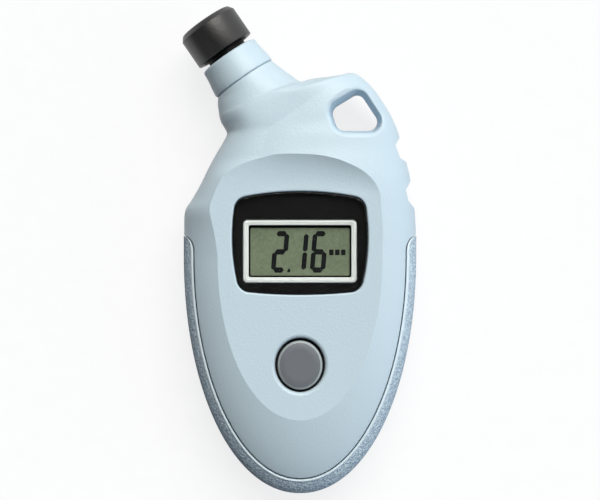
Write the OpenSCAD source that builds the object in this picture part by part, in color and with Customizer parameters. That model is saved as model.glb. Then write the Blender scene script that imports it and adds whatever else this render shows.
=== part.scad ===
// Digital tire pressure gauge, lying on its back.
// Millimetres. z = 0 is the flat back, +z comes out of the display, +y points to the valve head.

/* [Body] */
// Overall width of the body
body_w = 50; // [48:0.5:53]
// Length from the widest line down to the tip
tip_len = 51.3; // [48:0.1:56]
// Fullness of the lower body's outline, 2 for an ellipse
tip_full = 2.07; // [2:0.01:2.15]
// Place of the widest line along the body
waist_y = -1; // [-3:0.5:1]
// Height of the parting plane above the back
part_z = 10.5; // [10:0.1:11.5]
// Height of the flat display face above the back
face_z = 19.4; // [19:0.1:20.5]
// Height that the front crown would have above the parting plane without the flat face
crown_h = 12.4; // [12:0.1:13.5]
// Wall thickness of the shells
wall = 2; // [1.6:0.1:2.4]
// Thickness of the flat front wall
face_wall = 2.2; // [1.8:0.1:2.6]
// Radius of the concave scoop above the display
scoop_r = 11.5; // [9:0.5:14]
// Place where the scoop leaves the flat face
scoop_y = 13.7; // [13.2:0.1:15]
// Plan radius of the scoop line
scoop_bow = 60; // [40:5:90]

/* [Grip band] */
// Depth of the soft band at the sides
band_d = 2.3; // [1.8:0.1:2.8]
// Depth of the soft band at the tip
band_tip_d = 3.4; // [2.8:0.1:4]
// Height of the band's ends above the widest line
band_rise = 4; // [2:0.2:5]
// Length over which the ends of the band taper off
band_end = 3.4; // [2.4:0.2:4.5]
// Groove between the band and the shells
band_gap = 0.35; // [0.2:0.05:0.4]
// Thickness of the tongue that the shells clamp
tongue_t = 1.6; // [1.2:0.1:2]
// Length of that tongue
tongue_len = 1; // [0.6:0.1:1.2]

/* [Lanyard hole and notches] */
// Distance of the hole's centre from the right side of the body
hole_in = 13; // [12.5:0.1:13.5]
// Distance of the hole's centre above the widest line
hole_up = 30; // [29.5:0.1:30.5]
// Opening out of the hole from the parting plane to the faces
hole_flare = 0.9; // [0.5:0.1:1.2]

/* [Neck] */
// Lean of the neck axis to the left of the body axis
neck_tilt = 34.5; // [33:0.5:36]
// Centre of the neck's end, distance left of the body axis
neck_left = 11.85; // [11.4:0.05:12.2]
// Centre of the neck's end, distance above the widest line
neck_up = 37.7; // [37:0.1:38.4]
// Radius of the neck at its end
neck_r = 7; // [6.8:0.05:7.1]
// Radius of the spigot that carries the collar
spigot_r = 5.6; // [5.5:0.05:5.8]
// Length of that spigot
spigot_len = 4.4; // [4:0.1:4.8]
// Length of the collar
collar_len = 6.2; // [6:0.1:6.8]
// Outer radius of the collar at the neck
collar_r = 7.25; // [7.1:0.05:7.4]
// Outer radius of the collar at its top
collar_top_r = 6.6; // [6.4:0.05:6.8]
// Radius of the collar's rounded top edge
collar_soft = 1; // [0.6:0.1:1.2]

/* [Valve head] */
// Outer radius of the valve cap
cap_r = 6.65; // [6.5:0.05:6.9]
// Height of the valve cap
cap_len = 7.7; // [7.4:0.1:8.2]
// Gap between collar and cap
cap_gap = 1.25; // [1:0.05:1.6]
// Radius of the hole in the rubber gasket, for a 7.7 mm valve stem
valve_r = 4; // [3.9:0.05:4.1]
// Length of the sealing lip in the gasket
valve_lip = 2; // [1.6:0.1:2.4]
// Wall of the cap
cap_wall = 1.3; // [1.2:0.05:1.4]
// Radius of the stem in its sleeve
stem_r = 3.25; // [3:0.05:3.4]
// Length of the stem inside the sleeve
stem_len = 6.5; // [6:0.1:7]
// Radius of the ring that is seen under the cap
stem_ring_r = 4.5; // [4.3:0.05:4.7]
// Wall of the sleeve
sleeve_wall = 1.6; // [1.4:0.05:1.6]
// Thickness of an O-ring on the stem
ring_t = 0.9; // [0.8:0.05:1]
// Distance between the two O-rings
ring_pitch = 4.8; // [4.4:0.1:5]
// Height of the stem's head inside the cap
stem_head_h = 2.1; // [1.8:0.1:2.4]
// Depth of the gasket below the top of the cap
gasket_in = 1.55; // [1.4:0.05:1.7]
// Radius of the pin that opens the valve
pin_core_r = 0.65; // [0.5:0.05:0.7]
// Length of the pin's foot
pin_foot = 1.6; // [1.2:0.1:1.8]
// Depth of the stem's air passage below its flange
pin_seat_a = 3; // [2.8:0.1:3.4]
// Radius of the air passage in the stem
air_r = 0.9; // [0.7:0.05:1]
// Thickness of the slip ring under the stem's flange
washer_t = 0.3; // [0.2:0.05:0.5]
// Thickness of the stem's flange
stem_flange_t = 0.8; // [0.7:0.05:1]
// Width of the sleeve's flange
sleeve_flange = 0.75; // [0.6:0.05:0.9]
// Thickness of the sleeve's flange
sleeve_flange_t = 1.5; // [1.2:0.1:1.8]
// Depth of the sleeve below the stem's end
sleeve_end = 2.5; // [2.2:0.1:2.8]

/* [Air line] */
// Radius of the hose nipples
nipple_r = 1.4; // [1.3:0.05:1.5]
// Wall of the hose
hose_wall = 0.85; // [0.7:0.05:0.9]
// Length of the hose
hose_len = 11; // [10:0.2:12]
// Length of the sleeve's nipple
nipple_len = 4; // [3.5:0.1:4.5]
// Radius of the passage through the nipples
nipple_bore = 0.7; // [0.6:0.05:0.8]
// Thickness of a hose clip
clip_t = 0.45; // [0.3:0.05:0.5]
// Width of a hose clip
clip_w = 1.4; // [1.2:0.1:1.6]
// Distance of a hose clip from the hose's end
clip_in = 1.2; // [1:0.1:1.4]
// Distance of the sensor from the hose
sensor_gap = 1.6; // [1.4:0.1:2]
// Side of the pressure sensor
sensor_side = 8; // [7:0.2:8.4]
// Height of the pressure sensor
sensor_h = 3.8; // [3.6:0.1:5]

/* [Display] */
// Border of the lens beside the display frame
lens_side = 2.4; // [2.2:0.1:2.7]
// Border of the lens above the display frame
lens_over = 6; // [5.8:0.1:6.2]
// Border of the lens below the display frame
lens_under = 2.6; // [2.3:0.1:3.1]
// Radius of the lens's bowed sides
lens_side_r = 43; // [40:1:50]
// Radius of the lens's bowed top
lens_top_r = 62; // [58:1:70]
// Radius of the lens's bowed bottom
lens_low_r = 110; // [100:5:130]
// Distance of the lens's widest place below its top
lens_belly = 9.7; // [9:0.1:10.4]
// Corner radius of the lens
lens_corner = 3; // [2.4:0.1:3.2]
// Thickness of the lens
lens_t = 1.7; // [1.4:0.1:1.8]
// Thickness of the printed border
mask_t = 0.15; // [0.1:0.05:0.2]
// Depth of the lens below the face
lens_recess = 0.1; // [0.05:0.05:0.2]
// Thickness of the ledge under the lens
ledge_t = 1.2; // [1:0.1:1.4]
// Width of the ledge under the lens
ledge_w = 1.4; // [1.2:0.1:1.6]
// Middle of the display along the body
disp_y = -0.25; // [-0.5:0.05:0]
// Width of the opening of the display frame
view_w = 21.8; // [21:0.1:22.4]
// Height of the opening of the display frame
view_h = 11.1; // [10.6:0.1:11.4]
// Corner radius of that opening
view_corner = 0.4; // [0.3:0.1:0.6]
// Width of the frame bar
bar_w = 1.1; // [1:0.05:1.2]
// Outer corner radius of the frame bar
bar_corner = 0.9; // [0.7:0.1:1]
// Wall of the display frame round the display glass
frame_wall = 1.2; // [1:0.1:1.5]
// Thickness of the display frame's plate
plate_t = 1; // [0.8:0.1:1.1]
// Rim of the display glass beside the opening
lcd_side = 1.9; // [1.6:0.1:2.1]
// Rim of the display glass above and below the opening
lcd_over = 1.85; // [1.65:0.05:2.05]
// Thickness of the display glass
lcd_t = 2.4; // [2:0.1:2.8]
// Depth of the display's front glass below the top of the frame
lcd_recess = 0.7; // [0.5:0.1:1]
// Thickness of the reflector behind the display glass
back_t = 0.3; // [0.2:0.05:0.4]
// Width of a connector strip
zebra_w = 1.8; // [1.6:0.1:2]
// Distance of a connector strip from the edge of the display glass
zebra_in = 0.4; // [0.3:0.1:0.6]

/* [Button] */
// Width of the button
button_w = 9.5; // [9:0.1:10]
// Length of the button
button_l = 10.4; // [10:0.1:11]
// Place of the button along the body
button_y = -24.3; // [-25:0.1:-23.5]
// Gap round the button
button_gap = 0.5; // [0.35:0.05:0.6]
// Rise of the button above the face
button_rise = 0.3; // [0.1:0.05:0.6]
// Travel of the button
button_travel = 0.8; // [0.5:0.1:1]
// Height of the rubber dome
dome_h = 4.2; // [4:0.1:4.6]
// Radius of the rubber dome's foot
dome_r = 5.5; // [5.3:0.1:5.8]
// Thickness of the rubber dome's top
dome_top_t = 1.2; // [1:0.1:1.3]
// Width of the button's flange
button_flange = 1.3; // [1.1:0.1:1.4]
// Thickness of the button's flange
flange_t = 1.15; // [1:0.05:1.2]
// Radius of the button's plunger
plunger_r = 2.2; // [2:0.1:2.4]
// Radius of the contact pill
pill_r = 1.5; // [1.3:0.1:1.6]
// Thickness of the contact pill
pill_t = 0.6; // [0.5:0.05:0.65]

/* [Board and battery] */
// Diameter of the coin cell
cell_d = 20; // [20:0.1:20.2]
// Thickness of the coin cell
cell_t = 3.2; // [3.2:0.05:3.3]
// Place of the cell along the body
cell_y = -13; // [-13.5:0.1:-12.5]
// Width of the circuit board
board_w = 30; // [29:0.5:30.4]
// Lower end of the circuit board
board_y0 = -33; // [-33.5:0.1:-32.5]
// Upper end of the circuit board
board_y1 = 17; // [16.5:0.1:17.4]
// Thickness of the circuit board
board_t = 1.2; // [1:0.1:1.6]
// Height left for the cell's contacts
contact_h = 1.2; // [1.1:0.05:1.4]
// Cut-off corners of the circuit board, width
board_cut_w = 7; // [6:0.2:7.4]
// Cut-off corners of the circuit board, length
board_cut_l = 9; // [8:0.2:10]
// Width of the controller chip
chip_w = 9; // [8:0.2:10]
// Length of the controller chip
chip_l = 7; // [6:0.2:8]
// Height of the controller chip
chip_h = 1.4; // [1:0.1:1.6]
// Length of a small board component
smd_l = 2; // [1.6:0.1:2.2]
// Width of a small board component
smd_w = 1.2; // [1:0.1:1.4]
// Height of a small board component
smd_h = 0.8; // [0.6:0.1:1]
// Spacing of the small board components across the board
smd_pitch = 3.5; // [3.2:0.1:3.8]
// Spacing of the small board components along the board
smd_step = 2.4; // [2:0.1:2.8]
// Distance of the small board components above the button
smd_up = 9.8; // [9.4:0.1:10]
// Wall of the battery holder
holder_wall = 1.3; // [1.1:0.1:1.4]
// Clearance of the cell in its holder
cell_lay = 0.2; // [0.15:0.05:0.25]
// Thickness of the contact strips
strip_t = 0.3; // [0.2:0.05:0.35]
// Width of the contact strips
strip_w = 4.4; // [4:0.1:4.6]
// Half length of the leaf contact
leaf_l = 6; // [5.6:0.1:6.4]
// Radius of the battery cover
cover_r = 12.4; // [12.2:0.1:12.8]
// Ledge on which the battery cover sits
cover_ledge = 1.4; // [1.3:0.05:1.5]
// Thickness of the battery cover's rim
cover_rim = 0.95; // [0.9:0.01:0.97]
// Height of the battery cover
cover_h = 2.75; // [2.7:0.01:2.8]
// Thickness of the battery cover's O-ring
seal_t = 0.84; // [0.8:0.01:0.86]
// Length of the coin slot
coin_slot_l = 16; // [14:0.5:18]
// Width of the coin slot
coin_slot_w = 1.8; // [1.6:0.1:2]
// Depth of the coin slot
coin_slot_d = 0.7; // [0.5:0.1:0.8]
// Turn of the battery cover from locked to free
cover_turn = 40; // [36:1:44]
// Half the width of a cover lug, in degrees
lug_half = 14; // [12:1:15]
// Height of the battery cover's O-ring above the back
seal_z = 1.5; // [1.48:0.01:1.52]

/* [Fasteners] */
// Radius of a shell screw's shank
screw_r = 1.1; // [1:0.05:1.2]
// Radius of a shell screw's head
screw_head_r = 2; // [1.9:0.05:2.1]
// Length of a shell screw's shank
screw_len = 11; // [10:0.2:12]
// Height of a shell screw's head
screw_head_h = 1.4; // [1.2:0.1:1.6]
// Depth of a shell screw's seat below the back
screw_seat = 2.7; // [2.5:0.1:2.9]
// Radius of a screw post
post_r = 2.8; // [2.6:0.1:2.9]
// Radius of a board screw's shank
pin_r = 0.9; // [0.8:0.05:1]
// Radius of a board screw's head
pin_head_r = 1.7; // [1.6:0.05:1.8]
// Length of a board screw's shank
pin_len = 5; // [4.6:0.1:5.4]
// Height of a board screw's head
pin_head_h = 1.1; // [1:0.05:1.2]
// Radius of a board post
board_post_r = 2.1; // [2:0.05:2.2]

/* [Clearances] */
// Radial clearance of turning and sliding fits
run = 0.05; // [0.04:0.01:0.06]
// Clearance of pieces that are laid in
lay = 0.15; // [0.1:0.01:0.18]

/* [Hidden] */
$fn = 48;
hw = body_w / 2;
tip_y = waist_y - tip_len;
rear_h = part_z + 1.6;
face_soft = 0.8;
// Reach of the cuts that run right through, and of the halves of the neck
through = 2 * face_z;
past = body_w + tip_len;

// Levels from the back to the face
floor_z = wall;
cell_z = floor_z + 1;
board_z = cell_z + cell_t + contact_h;
board_top = board_z + board_t;
pocket_z = face_z - lens_recess - lens_t - mask_t;
ceil_z = face_z - face_wall;
ledge_z = pocket_z - ledge_t;
frame_top = pocket_z - lay;
plate_top = ledge_z - lay;
lcd_top = plate_top - plate_t - 2 * run;
lcd_z = lcd_top - lcd_t;
lcd_w = view_w + 2 * lcd_side;
lcd_h = view_h + 2 * lcd_over;
lens_w = view_w + 2 * (bar_w + lens_side);
lens_top = disp_y + view_h / 2 + bar_w + lens_over;
lens_bottom = disp_y - view_h / 2 - bar_w - lens_under;
zebra_h = lcd_z - back_t - board_top;

// Neck frame
neck_x = -neck_left;
neck_y = waist_y + neck_up;
nx = -sin(neck_tilt);
ny = cos(neck_tilt);
ux = cos(neck_tilt);
uy = sin(neck_tilt);
function neck_pt(a, r) = [neck_x + a * nx + r * ux, neck_y + a * ny + r * uy];
function body_pt(side, inset, rise) = [side * (hw - inset), waist_y + rise];

sleeve_r = stem_r + run + sleeve_wall;
stem_flange_a = spigot_len + washer_t + run;
lip_a = stem_flange_a + stem_flange_t + run;
cap_a = collar_len + cap_gap;
cap_in_r = cap_r - cap_wall;
stem_head_a = cap_a + stem_head_h;
gasket_top = cap_a + cap_len - gasket_in;
gasket_lip_a = gasket_top - valve_lip;
pin_tip_a = gasket_lip_a - lay;
sleeve_a = -stem_len - sleeve_end;
hose_r = nipple_r + run + hose_wall;
hose_a1 = sleeve_a - 2 * lay;
hose_a0 = hose_a1 - hose_len;
sensor_a = hose_a0 - sensor_gap - sensor_side / 2;

// Places of the fasteners
shell_spots = [[-18.2, 7.5], [18.2, 7.5], [-7.5, -36.7], [7.5, -36.7]];
board_spots = [[-12.4, 14.4], [12.4, 14.4], [-11, -29], [11, -29]];

// Corners of the lanyard hole round its centre: [x, y, radius]
hole_corners = [[0.3, 2.5, 1.7], [-3, 0.2, 1.95], [-2.4, -1.4, 2], [2.7, -1.5, 1.9]];

// Ribs of the body above the widest line.
// Each is [left end, right end, rise of the crown, left fullness, right fullness,
// rise of the back, fullness of the back].
// The rises run from 1 at the body to 0 at the round neck.
rib_keys = [
    [body_pt(-1, 0, 0), body_pt(1, 0, 0), 1, 2, 2, 1, 4],
    [body_pt(-1, 0.1, 5), body_pt(1, 0.1, 5), 1, 2.3, 2.05, 1, 4],
    [body_pt(-1, 0.3, 9.3), body_pt(1, 0.35, 9.6), 0.97, 2.9, 2.1, 1, 4],
    [body_pt(-1, 1.9, 12), body_pt(1, 0.75, 13), 0.93, 3.6, 2.15, 1, 4],
    [body_pt(-1, 3.7, 15.2), body_pt(1, 1.3, 16.4), 0.87, 4, 2.2, 1, 4],
    [body_pt(-1, 5.3, 18.5), body_pt(1, 2.1, 19.8), 0.78, 3.8, 2.3, 1, 4],
    [body_pt(-1, 6.8, 21.3), body_pt(1, 3, 23.2), 0.67, 3.4, 2.4, 1, 4],
    [body_pt(-1, 8.4, 24), body_pt(1, 4, 26.6), 0.54, 3, 2.5, 1, 4],
    [body_pt(-1, 9.3, 25.9), body_pt(1, 5.3, 29.6), 0.43, 2.8, 2.6, 1, 4],
    [neck_pt(-6.2, -9.55), body_pt(1, 7.3, 33), 0.32, 2.6, 2.8, 0.85, 3.6],
    [neck_pt(-5, -9.5), body_pt(1, 9.9, 36.4), 0.23, 2.5, 3, 0.7, 3.2],
    [neck_pt(-4.4, -9.35), body_pt(1, 13.1, 38.9), 0.175, 2.4, 3, 0.55, 3],
    [neck_pt(-3.9, -9.2), body_pt(1, 15.6, 38.65), 0.155, 2.3, 2.8, 0.45, 2.8],
    [neck_pt(-3.5, -9.05), body_pt(1, 18.6, 38.2), 0.12, 2.2, 2.6, 0.38, 2.7],
    [neck_pt(-3.1, -8.85), body_pt(1, 21.6, 37.9), 0.1, 2.15, 2.4, 0.3, 2.6],
    [neck_pt(-2.3, -8.45), neck_pt(-7.25, 9.45), 0.083, 2.1, 2.2, 0.25, 2.4],
    [neck_pt(-1.5, -8.05), neck_pt(-5, 8.6), 0.046, 2.05, 2.1, 0.15, 2.2],
    [neck_pt(-0.8, -7.6), neck_pt(-2.4, 7.8), 0.018, 2, 2, 0.06, 2.1],
    [neck_pt(0, -neck_r), neck_pt(0, neck_r), 0, 2, 2, 0, 2]
];

function crown(f) = neck_r + f * (crown_h - neck_r);
function depth(f) = neck_r + f * (rear_h - neck_r);
function hermite(a, b, c, d, t) = 0.5 * (2 * b + (c - a) * t
    + (2 * a - 5 * b + 4 * c - d) * t * t + (3 * b - a - 3 * c + d) * t * t * t);
function between(keys, i, t) = let (n = len(keys) - 1)
    hermite(keys[max(i - 1, 0)], keys[i], keys[min(i + 1, n)], keys[min(i + 2, n)], t);

// Below the widest line: share of the half width at the share dy of the way to the tip
function low_share(dy) = pow(max(0, 1 - pow(dy, tip_full)), 1 / tip_full);
function low_depth(dy) = rear_h * pow(max(0, 1 - pow(dy, 2 * tip_full)), 0.25);
low_ribs = [for (q = [2, 5, 9, 13, 18, 23, 28, 34, 40, 46, 52, 58, 64, 70, 76, 82, 86])
    let (dy = pow(cos(q), 2 / tip_full), x = hw * low_share(dy), y = waist_y - tip_len * dy)
    [[-x, y], [x, y], crown_h * low_share(dy), 2, 2, low_depth(dy), 4]];
high_ribs = [for (i = [0:len(rib_keys) - 1], t = [0, 0.5]) if (i < len(rib_keys) - 1 || t == 0)
    let (k = between(rib_keys, i, t))
    [k[0], k[1], crown(k[2]), k[3], k[4], depth(k[5]), k[6]]];
ribs = concat(low_ribs, high_ribs);

// A smooth lower envelope of two heights
function soft_min(a, b, k) = let (h = max(k - abs(a - b), 0) / k) min(a, b) - h * h * k / 4;
// Height of the flat face and of the scoop that rises from it
function scoop_rise(d) = d < 0.95 * scoop_r ? scoop_r - sqrt(scoop_r * scoop_r - d * d) : scoop_r;
function cut_z(x, y) = let (d = y - scoop_y + x * x / (2 * scoop_bow))
    face_z + (d <= 0 ? 0 : scoop_rise(d));

function rib_pt(r, s) = (r[0] + r[1]) / 2 + s * (r[1] - r[0]) / 2;
function front_z(r, s, drop) =
    let (p = rib_pt(r, s), f = s < 0 ? r[3] : r[4], crowned = r[2] * sqrt(max(0, 1 - pow(abs(s), f))))
    part_z + max(0, soft_min(crowned, cut_z(p[0], p[1]) - drop - part_z, face_soft));
function rear_z(r, s, drop) =
    part_z - max(0, soft_min(r[5] * pow(max(0, 1 - pow(abs(s), r[6])), 1 / r[6]), part_z - drop, face_soft));

function front_ring(r, n, drop) = [for (i = [0:n]) let (s = sin(-90 + 180 * i / n), p = rib_pt(r, s))
    [p[0], p[1], front_z(r, s, drop)]];
function rear_ring(r, n, drop) = [for (i = [0:n]) let (s = sin(90 - 180 * i / n), p = rib_pt(r, s))
    [p[0], p[1], rear_z(r, s, drop)]];

// A rib moved in from both ends, for the hollow of a shell
function in_rib(r, d) = let (v = r[1] - r[0], u = v / norm(v))
    [r[0] + d * u, r[1] - d * u, r[2] - wall, r[3], r[4], r[5] - wall, r[6]];
function beside_band(y) = max(0, min(1, (waist_y + 2 * band_rise - y) / band_rise));
function side_wall(y) = wall + (band_tip_d + tongue_len - 0.2) * beside_band(y);
hollow = [for (r = ribs) if (r[0][1] > tip_y + 6 && r[0][1] < waist_y + 21.5) in_rib(r, side_wall(r[0][1]))];

// A closed skin over a row of rings, its two ends closed from their middles
function middle(ring) = [for (i = [0:2]) [for (p = ring) p[i]] * [for (p = ring) 1 / len(ring)]];
module loft(rings) {
    n = len(rings[0]);
    m = len(rings);
    sides = [for (j = [0:m - 2], k = [0:n - 1], h = [0, 1])
        let (a = j * n + k, b = j * n + (k + 1) % n, c = (j + 1) * n + (k + 1) % n, d = (j + 1) * n + k)
        h == 0 ? [a, c, b] : [a, d, c]];
    first = [for (k = [0:n - 1]) [m * n, k, (k + 1) % n]];
    last = [for (k = [0:n - 1]) [m * n + 1, (m - 1) * n + (k + 1) % n, (m - 1) * n + k]];
    points = concat([for (r = rings) each r], [middle(rings[0]), middle(rings[m - 1])]);
    polyhedron(points, concat(sides, first, last));
}
module front_body() loft([for (r = ribs) front_ring(r, 27, 0)]);
module rear_body() loft([for (r = ribs) rear_ring(r, 27, 0)]);
module front_hollow() translate([0, 0, -0.01]) loft([for (r = hollow) front_ring(r, 17, face_wall)]);
module rear_hollow() translate([0, 0, 0.01]) loft([for (r = hollow) rear_ring(r, 17, floor_z)]);

// Stations along the soft band: [place, outward direction, depth, share of the full section]
function band_share(y) = let (t = (y - waist_y - band_rise + band_end) / band_end)
    t <= 0 ? 1 : max(0.3, sqrt(max(0, 1 - t * t)));
band_up = [1, 0.97, 0.9, 0.8, 0.65, 0.45, 0.2];
band_path = concat(
    [for (t = band_up) let (y = waist_y + t * band_rise)
        [[-hw, y], [-1, 0], band_d * band_share(y), band_share(y)]],
    [for (q = [180:5:360])
        let (dy = pow(-sin(q), 2 / tip_full), v = [cos(q) / hw, sin(q) / tip_len], s = pow(sin(q), 2))
        [[(q < 270 ? -hw : hw) * (q == 270 ? 0 : low_share(dy)), waist_y - tip_len * dy], v / norm(v),
         band_d + (band_tip_d - band_d) * s, 1]],
    [for (i = [len(band_up) - 1:-1:0]) let (y = waist_y + band_up[i] * band_rise)
        [[hw, y], [1, 0], band_d * band_share(y), band_share(y)]]);

function low_dy(p) = min(1, max(0, waist_y - p[1]) / tip_len);
function low_s(p) = min(1, abs(p[0]) / (hw * max(low_share(low_dy(p)), 0.0001)));
function rim_front(p) = part_z + crown_h * low_share(low_dy(p)) * sqrt(max(0, 1 - pow(low_s(p), 2)));
function rim_rear(p) = part_z
    - soft_min(low_depth(low_dy(p)) * pow(max(0, 1 - pow(low_s(p), 4)), 0.25), part_z, face_soft);
function band_ring(b) = let (d = b[2], w = b[1], t = tongue_len * b[3])
    concat(
        [for (f = [1, 0.9, 0.7, 0.45, 0.2, 0.06, 0]) let (p = b[0] - f * d * w)
            [p[0], p[1], rim_front(p) - (f == 1 ? 0.45 : f == 0.9 ? 0.1 : 0.05) * b[3] * (f > 0 ? 1 : 0)]],
        [for (f = [0.06, 0.2, 0.45, 0.7, 0.9, 1]) let (p = b[0] - f * d * w)
            [p[0], p[1], rim_rear(p) + (f == 1 ? 0.45 : f == 0.9 ? 0.1 : 0.05) * b[3]]],
        [for (q = [[0, -1], [1, -1], [1, 1], [0, 1]]) let (p = b[0] - (d + q[0] * t) * w)
            [p[0], p[1], part_z + q[1] * b[3] * tongue_t / 2]]);
function slot_ring(b) = let (d = b[2] + band_gap, w = b[1])
    [for (q = [[d, 40], [-4, 40], [-4, -10], [d, -10]]) let (p = b[0] - q[0] * w) [p[0], p[1], q[1]]];
function tongue_ring(b) = let (d = b[2], w = b[1], t = tongue_len * b[3] + lay, h = b[3] * tongue_t / 2 + 0.1)
    [for (q = [[d + t, h], [-2, h], [-2, -h], [d + t, -h]]) let (p = b[0] - q[0] * w)
        [p[0], p[1], part_z + q[1]]];
// The first and last stations of the groove reach a little past the band's ends
function beyond(path, d) = let (n = len(path) - 1) concat(
    [[path[0][0] + [0, d], path[0][1], path[0][2] * 0.3, path[0][3]]], path,
    [[path[n][0] + [0, d], path[n][1], path[n][2] * 0.3, path[n][3]]]);
module band_slot() {
    loft([for (b = beyond(band_path, band_gap)) slot_ring(b)]);
    loft([for (b = beyond(band_path, band_gap)) tongue_ring(b)]);
}

// Placing along the neck: z of the child runs out along the neck axis
module on_neck(a = 0) translate([neck_x, neck_y, part_z]) rotate([0, 0, neck_tilt]) rotate([-90, 0, 0])
    translate([0, 0, a]) children();
module at_spots(spots) for (s = spots) translate([s[0], s[1], 0]) children();

module hole_plan(grow) translate([hw - hole_in, waist_y + hole_up]) hull()
    for (c = hole_corners) translate([c[0], c[1]]) circle(r = c[2] + grow, $fn = 28);
module lanyard_cut(up) {
    reach = 8.4;
    far = 14;
    hull() {
        translate([0, 0, part_z - 0.1]) linear_extrude(0.2) hole_plan(0);
        translate([0, 0, part_z + up * reach]) linear_extrude(0.01) hole_plan(hole_flare);
        translate([0, 0, part_z + up * far]) linear_extrude(0.01) hole_plan(hole_flare * 1.6);
    }
}

// A notch in the right side: the two ends of its floor and how far its flanks run out from them
module notch(top, low, up_run, low_run) {
    soft = 0.5;
    floor_top = [hw - top[0], waist_y + top[1]];
    floor_low = [hw - low[0], waist_y + low[1]];
    inner = [floor_top + [soft, 0], floor_low + [soft, 0]];
    outer = [floor_top + up_run, floor_low + [low_run[0], -low_run[1]]];
    translate([0, 0, -1]) linear_extrude(through) hull()
        for (p = concat(inner, outer)) translate(p) circle(r = soft, $fn = 20);
}
module side_notches() {
    notch([4.35, 23.2], [3.6, 21], [2.6, 4.2], [3.4, 1.6]);
    notch([2.4, 13.7], [1.9, 11.7], [2.8, 4], [2.8, 2.6]);
}
module post(r, z0, z1) hull() {
    translate([0, 0, z0]) cylinder(r = r, h = 0.1, $fn = 32);
    translate([0, 0, z1 - 0.1]) cylinder(r = r + 0.15, h = 0.1, $fn = 32);
}

// Outline of the lens, grown or shrunk by g
module lens_plan(g) {
    side_x = lens_side_r - lens_w / 2;
    side_y = lens_top - lens_belly;
    offset(r = lens_corner + g) offset(delta = -lens_corner) intersection() {
        translate([side_x, side_y]) circle(r = lens_side_r, $fn = 200);
        translate([-side_x, side_y]) circle(r = lens_side_r, $fn = 200);
        translate([0, lens_top - lens_top_r]) circle(r = lens_top_r, $fn = 240);
        translate([0, lens_bottom + lens_low_r]) circle(r = lens_low_r, $fn = 400);
    }
}
module rounded(w, h, r) {
    translate([-w / 2 + r, -h / 2]) square([w - 2 * r, h]);
    translate([-w / 2, -h / 2 + r]) square([w, h - 2 * r]);
    for (x = [-1, 1], y = [-1, 1]) translate([x * (w / 2 - r), y * (h / 2 - r)]) circle(r = r, $fn = 24);
}
module frame_outer(g) rounded(view_w + 2 * bar_w + 2 * g, view_h + 2 * bar_w + 2 * g, bar_corner + g);
module oval(w, l) scale([1, l / w]) circle(d = w);
module box(w, l, h) translate([-w / 2, -l / 2, 0]) cube([w, l, h]);

// The way through the neck for the sleeve, its flange and the hose
module neck_ways() {
    on_neck(sleeve_a - run) cylinder(r = sleeve_r + run, h = through);
    on_neck(sleeve_a - run) cylinder(r = sleeve_r + sleeve_flange + run, h = sleeve_flange_t + 2 * run);
    on_neck(hose_a0 - 3) cylinder(r = hose_r + clip_t + 2 * lay + run, h = hose_len + 4);
}
// One half of the spigot that carries the collar
module half_spigot(up) intersection() {
    on_neck(-1) cylinder(r = spigot_r, h = 1 + spigot_len);
    translate([0, 0, up > 0 ? part_z : part_z - through]) cylinder(r = past, h = through);
}

module front_shell() color([0.77, 0.84, 0.87]) difference() {
    pilot_top = screw_seat + screw_len + 4 * lay;
    union() {
        difference() {
            front_body();
            front_hollow();
        }
        intersection() {
            front_body();
            union() {
                at_spots(shell_spots) post(post_r, part_z, through);
                at_spots(board_spots) post(board_post_r, part_z, through);
                translate([0, 0, ledge_z]) linear_extrude(ceil_z - ledge_z + 0.5) lens_plan(ledge_w);
            }
        }
        at_spots(board_spots) translate([0, 0, board_top])
            cylinder(r = board_post_r, h = part_z - board_top + 1, $fn = 32);
        half_spigot(1);
    }
    band_slot();
    lanyard_cut(1);
    side_notches();
    neck_ways();
    translate([0, 0, pocket_z]) linear_extrude(through) lens_plan(0);
    translate([0, disp_y, ledge_z - 1]) linear_extrude(through) frame_outer(2 * lay);
    translate([0, button_y, part_z]) linear_extrude(through)
        oval(button_w + 2 * button_gap, button_l + 2 * button_gap);
    at_spots(shell_spots) translate([0, 0, part_z - 1]) cylinder(r = screw_r + run, h = pilot_top - part_z + 1);
    at_spots(board_spots) translate([0, 0, board_top - 1])
        cylinder(r = pin_r + run, h = pin_len - board_t + 1 + 2 * lay, $fn = 32);
}

module rear_shell() color([0.72, 0.79, 0.83]) difference() {
    lug_in = cover_r - cover_ledge;
    union() {
        difference() {
            rear_body();
            rear_hollow();
        }
        at_spots(shell_spots) post(post_r, 1, part_z);
        half_spigot(-1);
    }
    band_slot();
    lanyard_cut(-1);
    side_notches();
    neck_ways();
    at_spots(shell_spots) {
        translate([0, 0, -1]) cylinder(r = screw_head_r + lay + run, h = 1 + screw_seat, $fn = 32);
        cylinder(r = screw_r + 2 * run, h = through, $fn = 32);
    }
    translate([0, cell_y, 0]) {
        translate([0, 0, -1]) cylinder(r = cover_r + lay, h = 1 + cover_rim + run, $fn = 72);
        translate([0, 0, -1]) cylinder(r = lug_in, h = 5, $fn = 72);
        for (i = [0:2]) rotate([0, 0, i * 120 - cover_turn - lug_half - 3]) translate([0, 0, 0.5])
            rotate_extrude(angle = 2 * lug_half + 6) square([cover_r, 2]);
    }
}

module grip_band() color([0.5, 0.58, 0.64]) loft([for (b = band_path) band_ring(b)]);

module neck_collar() color([0.77, 0.84, 0.87]) on_neck() rotate_extrude($fn = 72) {
    bore = spigot_r + lay;
    in_r = stem_ring_r + lay;
    top_a = collar_len - collar_soft;
    polygon(concat(
        [[in_r, lip_a], [bore, lip_a], [bore, lay], [collar_r, lay], [collar_r - 0.12, 1.6]],
        [[collar_top_r + 0.22, 3.4], [collar_top_r, top_a]],
        [for (q = [15:15:90]) [collar_top_r, top_a] + collar_soft * [cos(q) - 1, sin(q)]],
        [[in_r, collar_len]]));
}

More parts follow.
